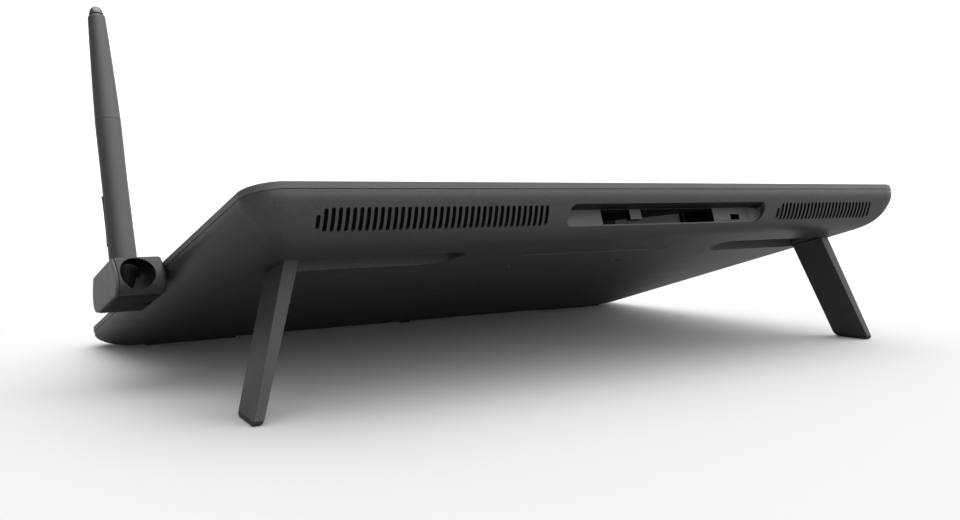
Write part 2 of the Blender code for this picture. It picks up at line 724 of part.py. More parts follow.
def leg_bar(side):
    """The whole leg before its end is cut: a round head on the axis and a tapering flat bar."""
    outline = []
    for step in range(9):
        angle = math.radians(180 * step / 8)
        outline.append((LEG_HEAD_RADIUS * math.cos(angle), LEG_HEAD_RADIUS * math.sin(angle)))
    outer, inner = leg_outline(LEG_LENGTH)
    outline.append((inner, -LEG_LENGTH))
    outline.append((outer, -LEG_LENGTH))
    rings = [[(side * x, v, z) for x, z in outline] for v in (LEG_V_LOW, LEG_V_HIGH)]
    bm = loft(rings)
    bmesh.ops.recalc_face_normals(bm, faces=bm.faces)
    return bm


def make_leg(side, word):
    """One leg, its rubber end, its pin and the leaf spring that holds it open or shut."""
    axis = (side * LEG_AXIS_U, 0, LEG_AXIS_HEIGHT)
    joint = empty("leg_joint_" + word, BACK, axis, (0, -side * LEG_OPEN_ANGLE, 0))
    grey = material("leg_grey_" + word, (0.10, 0.10, 0.105), 0.5)
    leg = mesh_object("leg_" + word, leg_bar(side), joint, grey)
    rubber = material("foot_" + word, (0.02, 0.02, 0.02), 0.85)
    foot = mesh_object("leg_foot_" + word, leg_bar(side), joint, rubber)
    middle = (LEG_V_LOW + LEG_V_HIGH) / 2
    half = (LEG_V_HIGH - LEG_V_LOW) / 2
    hole = cylinder_mesh(PIN_BORE_RADIUS, -half - 2 * MM, half + 2 * MM, "Y", (0, middle, 0))
    bore = mesh_object("leg_bore_" + word, hole, joint, cutter=True)
    add_bevel(leg, 0.5 * MM, 2, 50)
    add_bevel(foot, 0.5 * MM, 2, 50)
    boolean(leg, bore)
    foot_room = (0.3, 0.4, LEG_FOOT_HEIGHT + CLEARANCE)
    below = box("below_leg_" + word, (-0.3, -0.1, -0.1), foot_room, None, cutter=True)
    boolean(leg, below)
    pad = box("pad_" + word, (-0.3, -0.1, 0.0), (0.3, 0.4, LEG_FOOT_HEIGHT), None, cutter=True)
    boolean(foot, pad, "INTERSECT")
    length = half + WELL_SIDE_GAP + 1.0 * MM
    centre = (side * LEG_AXIS_U, middle, LEG_AXIS_HEIGHT)
    mesh_object("hinge_pin_" + word, cylinder_mesh(PIN_RADIUS, -length, length, "Y", centre), BACK,
                material("pin_steel_" + word, (0.6, 0.6, 0.62), 0.3, 1.0))
    make_detent_spring(side, word, middle)


def make_detent_spring(side, word, middle):
    """A thin leaf under the roof of the well, bowed towards the head of the leg."""
    bm = bmesh.new()
    half = 7.0 * MM
    rows = []
    for step in range(7):
        share = step / 6
        u = side * (LEG_AXIS_U - 12.0 * MM + 13.0 * MM * share)
        z = WELL_DEPTH - 0.25 * MM - 0.30 * MM * math.sin(math.pi * share)
        rows.append((bm.verts.new((u, middle - half, z)), bm.verts.new((u, middle + half, z))))
    for (a, b), (c, d) in zip(rows, rows[1:]):
        bm.faces.new((a, b, d, c))
    steel = material("spring_" + word, (0.6, 0.6, 0.6), 0.3, 1.0)
    spring = mesh_object("detent_spring_" + word, bm, BACK, steel)
    thick = spring.modifiers.new("thickness", "SOLIDIFY")
    thick.thickness = 0.2 * MM
    thick.offset = 0


# ---------------------------------------------------------------- front feet
def make_front_feet():
    """Two long rubber strips and one small pad under the front edge, flat where they meet the table."""
    rubber = material("rubber_black", (0.02, 0.02, 0.02), 0.85)
    places = (
        ("front_foot_right", 154.0, 28.0), ("front_foot_left", -154.0, 28.0), ("front_foot_centre", 0.0, 3.5),
    )
    for name, centre_u, half_u in places:
        foot = foot_prism(name, centre_u * MM, half_u * MM, rubber)
        floor = box("floor_" + name, (-0.3, -0.1, 0.0), (0.3, 0.4, 0.02), None, cutter=True)
        boolean(foot, floor, "INTERSECT")


def foot_prism(name, centre_u, half_u, mat):
    """A strip whose upper face follows the cover's curved edge, a gap below it; it runs past the floor."""
    ring = []
    for step in range(5):
        v = FOOT_V_LOW + (FOOT_V_HIGH - FOOT_V_LOW) * step / 4
        ring.append((v, cover_height(v, v) - 0.35 * MM))
    ring.append((FOOT_V_HIGH, -30 * MM))
    ring.append((FOOT_V_LOW, -30 * MM))
    rings = [[(u, v, w) for v, w in ring] for u in (centre_u - half_u, centre_u + half_u)]
    return mesh_object(name, loft(rings), TABLET, mat)


# ---------------------------------------------------------------- pen holder
def holder_outline(shrink=0.0):
    """The holder seen from its end: flat top and bottom, with shallow bulging front and rear."""
    top = HOLDER_TOP - shrink
    bottom = HOLDER_TOP - HOLDER_HEIGHT + shrink
    half = HOLDER_FLAT / 2 - shrink
    points = []
    for side in (1, -1):
        for step in range(9):
            share = step / 8
            height = bottom + (top - bottom) * (share if side > 0 else 1 - share)
            along = share ** 0.66
            bulge = HOLDER_BULGE * 4 * along * (1 - along)
            points.append((HOLDER_V + side * (half + bulge), height))
    return points


def make_holder():
    mat = material("holder_grey", (0.10, 0.10, 0.105), 0.5)
    outline = holder_outline()
    rings = [[(u, v, w) for v, w in outline] for u in (HOLDER_INNER_U, HOLDER_OUTER_U)]
    body = mesh_object("pen_holder", loft(rings), TABLET, mat)
    add_bevel(body, 0.8 * MM, 2, 40)
    reach = 40 * MM
    through = cylinder_mesh(HOLDER_HOLE_RADIUS, -reach, reach, "Y", (PEN_U, HOLDER_V, HOLDER_HOLE_W), 32)
    upright = cylinder_mesh(PEN_BORE_RADIUS, PEN_BORE_BOTTOM, 6 * MM, "Z", (PEN_U, HOLDER_V, 0), 32)
    along = mesh_object("holder_hole", through, TABLET, cutter=True)
    stand = mesh_object("pen_bore", upright, TABLET, cutter=True)
    boolean(body, along)
    boolean(body, stand)
    boolean(body, make_holder_seats())
    outline = holder_outline(0.5 * MM)
    inner = [[(u, v, w) for v, w in outline] for u in (HOLDER_OUTER_U + CLEARANCE, HOLDER_CAP_U)]
    cap = mesh_object("holder_cap", loft(inner), TABLET, material("cap_grey", (0.13, 0.13, 0.135), 0.5))
    add_bevel(cap, 0.5 * MM, 2, 40)
    make_tongue()


def make_holder_seats():
    """The seat of the tongue and the hole of the screw that holds it."""
    seat = box_mesh((205 * MM, HOLDER_V - 9.0 * MM, TONGUE_LOW - CLEARANCE),
                    (216.4 * MM, HOLDER_V + 9.0 * MM, TONGUE_LOW + TONGUE_THICKNESS + CLEARANCE))
    screw = cylinder_mesh(1.5 * MM, -20 * MM, TONGUE_LOW, "Z", HOLDER_SCREW_AT, 12)
    head = cylinder_mesh(1.9 * MM, -20 * MM, -13.6 * MM, "Z", HOLDER_SCREW_AT, 12)
    item = mesh_object("holder_seats", seat, TABLET, cutter=True)
    hole = mesh_object("holder_screw_hole", screw, TABLET, cutter=True)
    head_hole = mesh_object("holder_screw_head_hole", head, TABLET, cutter=True)
    boolean(item, hole, "UNION")
    boolean(item, head_hole, "UNION")
    return item


def make_tongue():
    """The flat tab that carries the holder: one end in the holder, the other in the body's side."""
    steel = material("tongue_steel", (0.22, 0.22, 0.23), 0.45, 0.6)
    low = (204.6 * MM, HOLDER_V - 8.7 * MM, TONGUE_LOW)
    high = (216.1 * MM, HOLDER_V + 8.7 * MM, TONGUE_LOW + TONGUE_THICKNESS)
    box("holder_tongue", low, high, TABLET, steel, bevel=0.3 * MM)
    profile = (
        (0, TONGUE_LOW - 0.2 * MM), (1.15 * MM, TONGUE_LOW - 0.2 * MM), (1.15 * MM, -13.8 * MM),
        (1.7 * MM, -13.8 * MM), (1.7 * MM, -14.9 * MM), (0, -14.9 * MM),
    )
    black = material("screw_black", (0.05, 0.05, 0.05), 0.4, 1.0)
    turned("holder_screw", profile, TABLET, black, 12, HOLDER_SCREW_AT)


# ---------------------------------------------------------------- pen
def make_pen():
    """The pen stands on its tip; every piece is turned about the pen's axis."""
    joint = empty("pen_joint", TABLET, (PEN_U, HOLDER_V, PEN_TOP - PEN_LENGTH))
    grey = material("pen_grey", (0.09, 0.09, 0.095), 0.5)
    soft = material("pen_grip", (0.07, 0.07, 0.072), 0.7)
    make_pen_barrel(joint, soft)
    tail = (
        (4.0, 145.9), (4.2, 145.6), (4.75, 132.0), (5.3, 117.0), (5.75, 103.0), (6.1, 89.8), (5.2, 89.8),
        (4.8, 103.0), (4.0, 120.0), (3.3, 135.0), (3.0, 145.9), (4.0, 145.9),
    )
    turned_ring("pen_tail", tail, joint, grey)
    tip = (
        (2.5, 8.0), (2.9, 8.0), (2.9, 5.4), (2.3, 4.2), (1.35, 2.5), (1.05, 2.5), (1.05, 8.0), (2.5, 8.0),
    )
    turned_ring("pen_tip_cone", tip, joint, grey)
    nib = ((0, 14.0), (0.9, 14.0), (0.9, 2.0), (0.75, 0.7), (0.4, 0.12), (0, 0.0))
    turned("pen_nib", scaled(nib), joint, material("nib_black", (0.03, 0.03, 0.03), 0.6), 12)
    eraser = (
        (0, 151.5), (1.3, 151.2), (2.4, 150.3), (3.1, 149.0), (3.4, 147.6), (3.4, 147.0), (2.6, 147.0),
        (2.6, 142.0), (0, 142.0),
    )
    turned("pen_eraser", scaled(eraser), joint, material("eraser_grey", (0.20, 0.20, 0.205), 0.5), 20)
    make_pen_inside(joint)
    make_rocker(joint)


def scaled(profile):
    return [(radius * MM, height * MM) for radius, height in profile]


def turned_ring(name, profile, parent, mat):
    """A turned sleeve: the profile is a closed loop that stays off the axis."""
    points = scaled(profile)[:-1]
    bm = bmesh.new()
    verts = [bm.verts.new((radius, 0, height)) for radius, height in points]
    for first, second in zip(verts, verts[1:] + verts[:1]):
        bm.edges.new((first, second))
    mesh = bpy.data.meshes.new(name)
    bm.to_mesh(mesh)
    bm.free()
    item = bpy.data.objects.new(name, mesh)
    PARTS.objects.link(item)
    item.parent = parent
    mesh.materials.append(mat)
    screw = item.modifiers.new("turn", "SCREW")
    screw.axis = "Z"
    screw.angle = 2 * math.pi
    screw.steps = 28
    screw.render_steps = 28
    screw.use_merge_vertices = True
    screw.merge_threshold = 0.00001
    screw.use_smooth_shade = True
    return item


def make_pen_barrel(joint, mat):
    """The flared grip half of the barrel, hollow, with a window for the rocker."""
    profile = (
        (5.9, 89.5), (6.1, 89.2), (6.1, 78.0), (6.02, 60.0), (6.12, 47.0), (6.28, 34.0), (6.42, 24.0),
        (6.42, 19.0), (6.3, 16.0), (5.9, 13.2), (5.0, 9.8), (4.0, 6.8), (3.2, 4.9), (3.2, 8.3), (3.8, 11.5),
        (4.5, 15.0), (4.7, 20.0), (4.7, 45.0), (4.6, 70.0), (4.6, 89.5), (5.9, 89.5),
    )
    barrel = turned_ring("pen_barrel", profile, joint, mat)
    low = mm(3.6, -2.7, ROCKER_LOW - 0.5)
    high = mm(9.0, 2.7, ROCKER_HIGH + 0.5)
    window = box("rocker_window", low, high, joint, cutter=True)
    window.rotation_euler = (0, 0, ROCKER_ANGLE)
    boolean(barrel, window)


def make_rocker(joint):
    """The two-way side switch: a slim bar with two raised ends, pivoting about its middle."""
    place = Matrix.Rotation(ROCKER_ANGLE, 3, "Z") @ Vector((ROCKER_PIVOT_RADIUS * MM, 0, ROCKER_MIDDLE * MM))
    pivot = empty("rocker_joint", joint, place, (0, 0, ROCKER_ANGLE))
    reach = (ROCKER_HIGH - ROCKER_LOW) / 2
    outline = []
    for step in range(11):
        share = step / 10
        crown = 1.1 + 0.6 * (2 * share - 1) ** 2
        outline.append((crown, reach * (2 * share - 1)))
    outline.append((-0.4, reach - 0.4))
    outline.append((-0.4, -reach + 0.4))
    rings = [[(x * MM, y, z * MM) for x, z in outline] for y in (-2.35 * MM, 2.35 * MM)]
    rocker = mesh_object("pen_rocker", loft(rings), pivot, material("rocker_grey", (0.05, 0.05, 0.052), 0.45))
    add_bevel(rocker, 0.35 * MM, 2, 50)


def make_pen_inside(joint):
    """The coil, circuit and pressure cell inside the barrel."""
    coil = ((1.4, 26.0), (2.6, 26.0), (2.6, 15.0), (1.4, 15.0), (1.4, 26.0))
    turned_ring("pen_coil", coil, joint, material("coil_copper", (0.6, 0.3, 0.15), 0.4, 0.8))
    cell = ((0, 34.0), (2.7, 34.0), (2.7, 27.0), (0, 27.0))
    turned("pen_pressure_cell", scaled(cell), joint, material("cell_grey", (0.3, 0.3, 0.3), 0.4), 16)
    box("pen_circuit", mm(-2.6, -0.5, 46), mm(2.6, 0.5, 84), joint,
        material("pen_board", (0.02, 0.10, 0.06), 0.5))


# ---------------------------------------------------------------- build
make_front_frame()
make_cover_sheet()
make_power_button()
make_display_stack()
make_main_board()
make_display_cable()
make_rear_cover()
make_mount_inserts()
make_label_strip()
make_port_tray()
make_ports()
make_leg(1, "right")
make_leg(-1, "left")
make_front_feet()
make_holder()
make_pen()
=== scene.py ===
"""Looks for the pen drawing tablet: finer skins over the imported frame, finishes, studio and camera.

Shapes are written in millimetres in the tablet's own frame (u right, v up the slope, w out of the screen)
and are carried into the row frame by one matrix.
"""

import math

import bmesh
import bpy
from mathutils import Matrix, Vector


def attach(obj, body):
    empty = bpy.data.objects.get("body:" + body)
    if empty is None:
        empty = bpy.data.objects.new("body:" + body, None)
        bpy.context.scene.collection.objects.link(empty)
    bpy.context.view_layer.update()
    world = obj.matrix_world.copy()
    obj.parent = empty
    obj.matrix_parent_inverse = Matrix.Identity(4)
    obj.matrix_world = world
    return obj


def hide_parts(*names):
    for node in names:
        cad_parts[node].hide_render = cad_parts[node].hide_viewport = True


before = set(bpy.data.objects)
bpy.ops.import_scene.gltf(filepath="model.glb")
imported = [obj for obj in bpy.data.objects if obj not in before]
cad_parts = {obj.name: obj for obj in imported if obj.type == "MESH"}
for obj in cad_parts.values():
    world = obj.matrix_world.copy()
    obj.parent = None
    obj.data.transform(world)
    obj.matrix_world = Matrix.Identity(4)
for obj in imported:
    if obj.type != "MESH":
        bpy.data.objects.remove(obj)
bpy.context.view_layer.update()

# ---------------------------------------------------------------- dimensions, in millimetres
WIDTH = 417.5
BODY_CENTRE = 2.25
DEPTH = 285.0
CORNER_RADIUS = 15.0
TILT = math.radians(18.25)
GROUND_BELOW_EDGE = 9.0
FOOT_CENTRE_Y = 13.0 / math.cos(TILT) + GROUND_BELOW_EDGE * math.tan(TILT)
BACK_DEPTH = 14.0
BACK_SLOPE = 0.030
EDGE_REACH = 25.5
EDGE_POWER = 2.7
EDGE_CORNER_GROWTH = 0.9
COVER_LIP = -6.5
COVER_INSET = 0.3
COVER_WALL = 1.8
SEGMENTS = 26

VENT_PITCH = 3.166
VENT_GROUPS = ((182.3, 37, 4.0, 10.5), (-94.3, 27, 13.0, 13.9))
VENT_INSETS = (2.7, 10.4)
VENT_END_CUTS = {0: (0.27, 0.13), 1: (0.03, 0.0), -1: (0.0, 0.07)}
VENT_RADIUS = 0.9
VENT_DEPTH = 3.5
LIP_BLEND = (-4.6, 2.2)
RIM_UNDERSIDE = -3.26

BAY = {"left": 55.4, "right": -82.2, "top": -9.9, "bottom": -18.6, "face": 272.5, "corner": 3.9}
BAY_FILLET = 6.0
TRAY_BACK = 251.5
TRAY_ROOF = -8.2

LEG_U = 178.6
LEG_HEIGHT = 3.6
LEG_V = (220.2, 242.4)
LEG_HEAD = 3.3
LEG_LENGTH = 84.0
LEG_TIP = 3.9
LEG_ANGLE = math.radians(18.3)
LEG_EDGE = 0.25
LEG_PAD_TOP = 2.4
PIN_BORE = 1.32
WELL_INNER = 89.5
WELL_DEPTH = 7.7
WELL_WALL = 1.6
WELL_SIDE_GAP = 0.8
WELL_HEAD_GAP = 0.3
WELL_SWEEP = (18.5, 15.5)
WELL_REAR_RADIUS = 5

MOUNT_CENTRE_V = 166.0
MOUNT_HALF = 37.5
MOUNT_BOSS = 4.6
LABEL_HALF_U = 48.5
LABEL_V = (230.8, 237.2)
LABEL_DEPTH = 0.8
BUTTON_PLACE = (190, 269, 0)
LAMP_PLACE = (182, 269, 0)
FRONT_FEET = (("right", 154.0, 28.0), ("left", -154.0, 28.0), ("centre", 0.0, 3.5))

HOLDER_V = 149.5
HOLDER_TOP = 1.9
HOLDER_HEIGHT = 18.0
HOLDER_FLAT = 37.0
HOLDER_BULGE = 5.4
HOLDER_U = (211.5, 233.4, 235.0)
BORE_RADIUS = 7.95
BORE_W = -6.5
TONGUE_W = (-8.7, -6.7)
SCREW_PLACE = (214.6, 147.0)
SCREW_SHANK = 1.5
SCREW_HEAD = 2.2
PEN_U = 224.6
PEN_BASE = 138.0 - 151.5
PEN_WELL_RADIUS = 7.6
ROCKER_LOW = 26.0
ROCKER_HIGH = 51.5
ROCKER_TURN = math.radians(-25)

KEY_DIRECTION = (-0.80, 0.66, 0.55)
SKY_DIM = 0.21
SKY_BRIGHT = 1.48
OVERHEAD_POWER = 12.0
FLOOR_BOUNCE = 0.50
FLOOR_NEAR = (0.86, 0.86, 0.86)
FLOOR_FAR = (0.97, 0.97, 0.97)
FLOOR_TURN = math.radians(-34)
FLOOR_REAR = -2.5
FLOOR_SWEEP = 1.6
CAMERA_PLACE = (345.0, 616.6, -113.3)
CAMERA_TURN = (math.radians(85.88), 0, math.radians(145.733))
CAMERA_LENS = 36.446

TABLET = (
    Matrix.Diagonal((0.001, 0.001, 0.001, 1.0))
    @ Matrix.Translation((0, -FOOT_CENTRE_Y, GROUND_BELOW_EDGE))
    @ Matrix.Rotation(TILT, 4, "X")
)
BACK = TABLET @ Matrix.Translation((0, 0, -BACK_DEPTH)) @ Matrix.Rotation(-math.atan(BACK_SLOPE), 4, "X")
PEN = TABLET @ Matrix.Translation((PEN_U, HOLDER_V, PEN_BASE))


# ---------------------------------------------------------------- finishes, and colours painted as light and shade
def new_material(name):
    mat = bpy.data.materials.new(name)
    mat.use_nodes = True
    nodes = mat.node_tree.nodes
    return mat, nodes, mat.node_tree.links, nodes["Principled BSDF"]


def noise(nodes, links, coords, scale, detail=2.0, roughness=0.55):
    tex = nodes.new("ShaderNodeTexNoise")
    tex.inputs["Scale"].default_value = scale
    tex.inputs["Detail"].default_value = detail
    tex.inputs["Roughness"].default_value = roughness
    links.new(coords, tex.inputs["Vector"])
    return tex.outputs["Fac"]


def remap(nodes, links, value, low, high, out_low, out_high):
    node = nodes.new("ShaderNodeMapRange")
    node.inputs["From Min"].default_value = low
    node.inputs["From Max"].default_value = high
    node.inputs["To Min"].default_value = out_low
    node.inputs["To Max"].default_value = out_high
    links.new(value, node.inputs["Value"])
    return node.outputs["Result"]


def mix_colour(nodes, links, factor, first, second):
    node = nodes.new("ShaderNodeMix")
    node.data_type = "RGBA"
    for socket, value in ((node.inputs[6], first), (node.inputs[7], second)):
        if isinstance(value, tuple):
            socket.default_value = (*value, 1.0)
        else:
            links.new(value, socket)
    links.new(factor, node.inputs[0])
    return node.outputs[2]


def bump(nodes, links, shader, height, strength, distance, after=None):
    node = nodes.new("ShaderNodeBump")
    node.inputs["Strength"].default_value = strength
    node.inputs["Distance"].default_value = distance
    links.new(height, node.inputs["Height"])
    if after is not None:
        links.new(after, node.inputs["Normal"])
    links.new(node.outputs["Normal"], shader.inputs["Normal"])
    return node.outputs["Normal"]


def object_coords(nodes):
    return nodes.new("ShaderNodeTexCoord").outputs["Object"]


def plastic(name, colour, rough, grain, relief, mottle=0.10, wear=0.4, specular=0.5):
    """Moulded plastic: a spark-eroded grain in two sizes, slight mottling, and edges rubbed lighter."""
    mat, nodes, links, shader = new_material(name)
    coords = object_coords(nodes)
    fine = noise(nodes, links, coords, grain, 2.0, 0.6)
    pits = noise(nodes, links, coords, grain * 0.42, 3.0, 0.7)
    broad = noise(nodes, links, coords, 45, 4.0)
    dark = tuple(c * (1 - mottle) for c in colour)
    light = tuple(c * (1 + mottle) for c in colour)
    base = mix_colour(nodes, links, remap(nodes, links, broad, 0.3, 0.7, 0.0, 1.0), dark, light)
    flecks = remap(nodes, links, pits, 0.42, 0.62, 0.0, min(1.0, relief))
    flecked = mix_colour(nodes, links, flecks, base, tuple(min(1.0, c * 1.5) for c in colour))
    edge = nodes.new("ShaderNodeNewGeometry").outputs["Pointiness"]
    rubbed = remap(nodes, links, edge, 0.53, 0.62, 0.0, wear)
    final = mix_colour(nodes, links, rubbed, flecked, tuple(min(1.0, c * 1.8 + 0.01) for c in colour))
    links.new(final, shader.inputs["Base Color"])
    smear = noise(nodes, links, coords, 90, 3.0)
    links.new(remap(nodes, links, smear, 0.3, 0.7, rough - 0.03, rough + 0.03), shader.inputs["Roughness"])
    shader.inputs["Specular IOR Level"].default_value = specular
    coarse = bump(nodes, links, shader, pits, relief, 0.00010)
    bump(nodes, links, shader, fine, relief * 0.6, 0.00005, coarse)
    return mat


def rubber(name, colour, rough):
    """Rubber: matt, with a soft orange-peel surface and a dusting of pale marks."""
    mat, nodes, links, shader = new_material(name)
    coords = object_coords(nodes)
    fine = noise(nodes, links, coords, 1500, 3.0)
    dust = noise(nodes, links, coords, 260, 5.0, 0.7)
    marks = remap(nodes, links, dust, 0.55, 0.75, 0.0, 0.35)
    links.new(mix_colour(nodes, links, marks, colour, tuple(c * 2.2 + 0.01 for c in colour)),
              shader.inputs["Base Color"])
    spread = remap(nodes, links, fine, 0.3, 0.7, rough - 0.08, min(1.0, rough + 0.08))
    links.new(spread, shader.inputs["Roughness"])
    shader.inputs["Specular IOR Level"].default_value = 0.25
    bump(nodes, links, shader, fine, 0.4, 0.00008)
    return mat


def metal(name, colour, rough, stretch=(40, 1, 1)):
    """Worked metal: fine directional lines with a little tarnish."""
    mat, nodes, links, shader = new_material(name)
    mapping = nodes.new("ShaderNodeMapping")
    mapping.inputs["Scale"].default_value = stretch
    links.new(object_coords(nodes), mapping.inputs["Vector"])
    lines = noise(nodes, links, mapping.outputs["Vector"], 90, 3.0)
    tarnish = noise(nodes, links, object_coords(nodes), 140, 4.0)
    shade = remap(nodes, links, tarnish, 0.35, 0.7, 0.0, 0.5)
    dull = tuple(c * 0.7 for c in colour)
    links.new(mix_colour(nodes, links, shade, colour, dull), shader.inputs["Base Color"])
    links.new(remap(nodes, links, lines, 0.3, 0.7, rough - 0.08, rough + 0.12), shader.inputs["Roughness"])
    shader.inputs["Metallic"].default_value = 1.0
    bump(nodes, links, shader, lines, 0.25, 0.00004)
    return mat


def circuit(name, colour):
    """A lacquered board: tracks and pads as square patches under a glossy coat."""
    mat, nodes, links, shader = new_material(name)
    coords = object_coords(nodes)
    brick = nodes.new("ShaderNodeTexBrick")
    brick.inputs["Scale"].default_value = 260
    brick.inputs["Mortar Size"].default_value = 0.03
    brick.inputs["Color1"].default_value = (*colour, 1)
    brick.inputs["Color2"].default_value = (*[c * 0.6 for c in colour], 1)
    brick.inputs["Mortar"].default_value = (colour[0] + 0.10, colour[1] + 0.12, colour[2] + 0.04, 1)
    links.new(coords, brick.inputs["Vector"])
    links.new(brick.outputs["Color"], shader.inputs["Base Color"])
    fine = noise(nodes, links, coords, 700, 3.0)
    links.new(remap(nodes, links, fine, 0.3, 0.7, 0.25, 0.45), shader.inputs["Roughness"])
    shader.inputs["Coat Weight"].default_value = 0.4
    bump(nodes, links, shader, brick.outputs["Fac"], 0.3, 0.00005)
    return mat


def tablet_coords(nodes, links):
    """The point in the tablet's own frame, in metres: the tilt is turned back."""
    mapping = nodes.new("ShaderNodeMapping")
    mapping.vector_type = "TEXTURE"
    mapping.inputs["Rotation"].default_value = (TILT, 0, 0)
    mapping.inputs["Location"].default_value = (0, -FOOT_CENTRE_Y * 0.001, GROUND_BELOW_EDGE * 0.001)
    links.new(object_coords(nodes), mapping.inputs["Vector"])
    return mapping.outputs["Vector"]


def screen_material():
    """Etched cover glass: a black border round a slightly paler picture area, with an anti-glare texture."""
    mat, nodes, links, shader = new_material("etched_screen")
    local = tablet_coords(nodes, links)
    split = nodes.new("ShaderNodeSeparateXYZ")
    links.new(local, split.inputs[0])
    side = nodes.new("ShaderNodeMath")
    side.operation = "ABSOLUTE"
    links.new(split.outputs["X"], side.inputs[0])
    upper = nodes.new("ShaderNodeMath")
    upper.operation = "SUBTRACT"
    upper.inputs[1].default_value = 0.1475
    links.new(split.outputs["Y"], upper.inputs[0])
    height = nodes.new("ShaderNodeMath")
    height.operation = "ABSOLUTE"
    links.new(upper.outputs[0], height.inputs[0])
    inside_u = remap(nodes, links, side.outputs[0], 0.1717, 0.1722, 1.0, 0.0)
    inside_v = remap(nodes, links, height.outputs[0], 0.0966, 0.0971, 1.0, 0.0)
    both = nodes.new("ShaderNodeMath")
    both.operation = "MULTIPLY"
    links.new(inside_u, both.inputs[0])
    links.new(inside_v, both.inputs[1])
    coords = object_coords(nodes)
    smear = noise(nodes, links, coords, 22, 5.0, 0.7)
    picture = mix_colour(nodes, links, remap(nodes, links, smear, 0.35, 0.7, 0.0, 1.0),
                         (0.017, 0.018, 0.021), (0.024, 0.025, 0.029))
    whole = mix_colour(nodes, links, both.outputs[0], (0.008, 0.008, 0.009), picture)
    links.new(whole, shader.inputs["Base Color"])
    links.new(remap(nodes, links, smear, 0.3, 0.75, 0.26, 0.40), shader.inputs["Roughness"])
    etch = noise(nodes, links, coords, 5200, 1.0)
    bump(nodes, links, shader, etch, 0.10, 0.00002)
    return mat


def clear_guide():
    """Frosted acrylic with a grid of printed dots."""
    mat, nodes, links, shader = new_material("guide_acrylic")
    coords = object_coords(nodes)
    dots = nodes.new("ShaderNodeTexVoronoi")
    dots.inputs["Scale"].default_value = 700
    dots.inputs["Randomness"].default_value = 0.0
    links.new(coords, dots.inputs["Vector"])
    spots = remap(nodes, links, dots.outputs["Distance"], 0.2, 0.3, 1.0, 0.0)
    printed = mix_colour(nodes, links, spots, (0.72, 0.76, 0.79), (0.95, 0.95, 0.95))
    links.new(printed, shader.inputs["Base Color"])
    frost = remap(nodes, links, noise(nodes, links, coords, 200), 0.3, 0.7, 0.12, 0.3)
    links.new(frost, shader.inputs["Roughness"])
    bump(nodes, links, shader, dots.outputs["Distance"], 0.1, 0.00003)
    return mat


SHELL = plastic("shell_plastic", (0.035, 0.035, 0.036), 0.42, 1900, 0.60, 0.04, 0.4, 0.70)
RIM = plastic("rim_plastic", (0.088, 0.088, 0.090), 0.42, 2600, 0.20, 0.05)
LEG = plastic("leg_plastic", (0.046, 0.046, 0.047), 0.46, 2100, 0.45, 0.08)
TRAY = plastic("tray_plastic", (0.062, 0.062, 0.063), 0.48, 2400, 0.25, 0.06)
HOLDER = plastic("holder_plastic", (0.033, 0.033, 0.034), 0.42, 2300, 0.30, 0.06)
CAP = plastic("cap_plastic", (0.080, 0.080, 0.081), 0.36, 2800, 0.18, 0.05, 0.8)
PEN_BODY = plastic("pen_plastic", (0.050, 0.050, 0.052), 0.30, 3000, 0.10, 0.04, 0.4, 1.0)
PEN_SOFT = plastic("pen_soft_coat", (0.050, 0.050, 0.052), 0.36, 3400, 0.14, 0.05, 0.2, 0.9)
DARK = plastic("socket_plastic", (0.012, 0.012, 0.013), 0.45, 2500, 0.3)
# Painted shade: a near-black colour laid on the bay's and the wells' ceilings, the slot walls, the holder's
# bores and the bay's pockets.
PAINTED_SHADE = plastic("painted_shade_plastic", (0.010, 0.010, 0.011), 0.60, 2500, 0.2, 0.05, 0.0, 0.2)
# Painted light: a paler colour on the leg wells' front walls, which face the light.
PAINTED_WELL_LIGHT = plastic("well_wall_painted_light", (0.082, 0.082, 0.083), 0.46, 2200, 0.3, 0.05, 0.0)
# Painted shade: a darker colour for the grip where it sits down in the holder.
GRIP_PAINTED_SHADE = plastic("pen_grip_painted_shade", (0.018, 0.018, 0.019), 0.50, 3400, 0.2, 0.05, 0.0, 0.3)
NIB = plastic("nib_plastic", (0.030, 0.030, 0.030), 0.50, 3000, 0.2)
ROCKER = plastic("rocker_plastic", (0.040, 0.040, 0.041), 0.36, 3000, 0.12)
# Satin for the power button; also a painted highlight on the label recess's wall that faces up the slope.
SATIN_AND_EDGE_LIGHT = plastic("satin_and_painted_edge_light", (0.110, 0.110, 0.114), 0.36, 2600, 0.2)
LABEL = plastic("label_film", (0.026, 0.026, 0.027), 0.36, 1500, 0.12, 0.12)
LAMP = plastic("lamp_lens", (0.72, 0.76, 0.80), 0.25, 1800, 0.1, 0.05)
PANEL = plastic("panel_layers", (0.030, 0.032, 0.036), 0.20, 3000, 0.1, 0.2)
CABLE = plastic("cable_film", (0.36, 0.19, 0.05), 0.35, 1200, 0.3, 0.15)
RUBBER = rubber("foot_rubber", (0.02, 0.02, 0.02), 0.85)
PAD = rubber("pad_rubber", (0.040, 0.040, 0.041), 0.55)
STEEL = metal("pin_steel", (0.46, 0.46, 0.47), 0.32)
SHEET_METAL = metal("rolled_sheet", (0.60, 0.60, 0.62), 0.35, (1, 30, 1))
PORT_METAL = metal("blackened_steel", (0.08, 0.08, 0.085), 0.35, (1, 1, 30))
ERASER = metal("polished_cap", (0.24, 0.24, 0.25), 0.18, (1, 1, 20))
BRASS = metal("insert_brass", (0.62, 0.45, 0.20), 0.3, (1, 1, 40))
COPPER = metal("coil_copper", (0.55, 0.26, 0.12), 0.35, (1, 1, 80))
BOARD = circuit("board_lacquer", (0.02, 0.10, 0.055))
SCREEN = screen_material()
GUIDE = clear_guide()


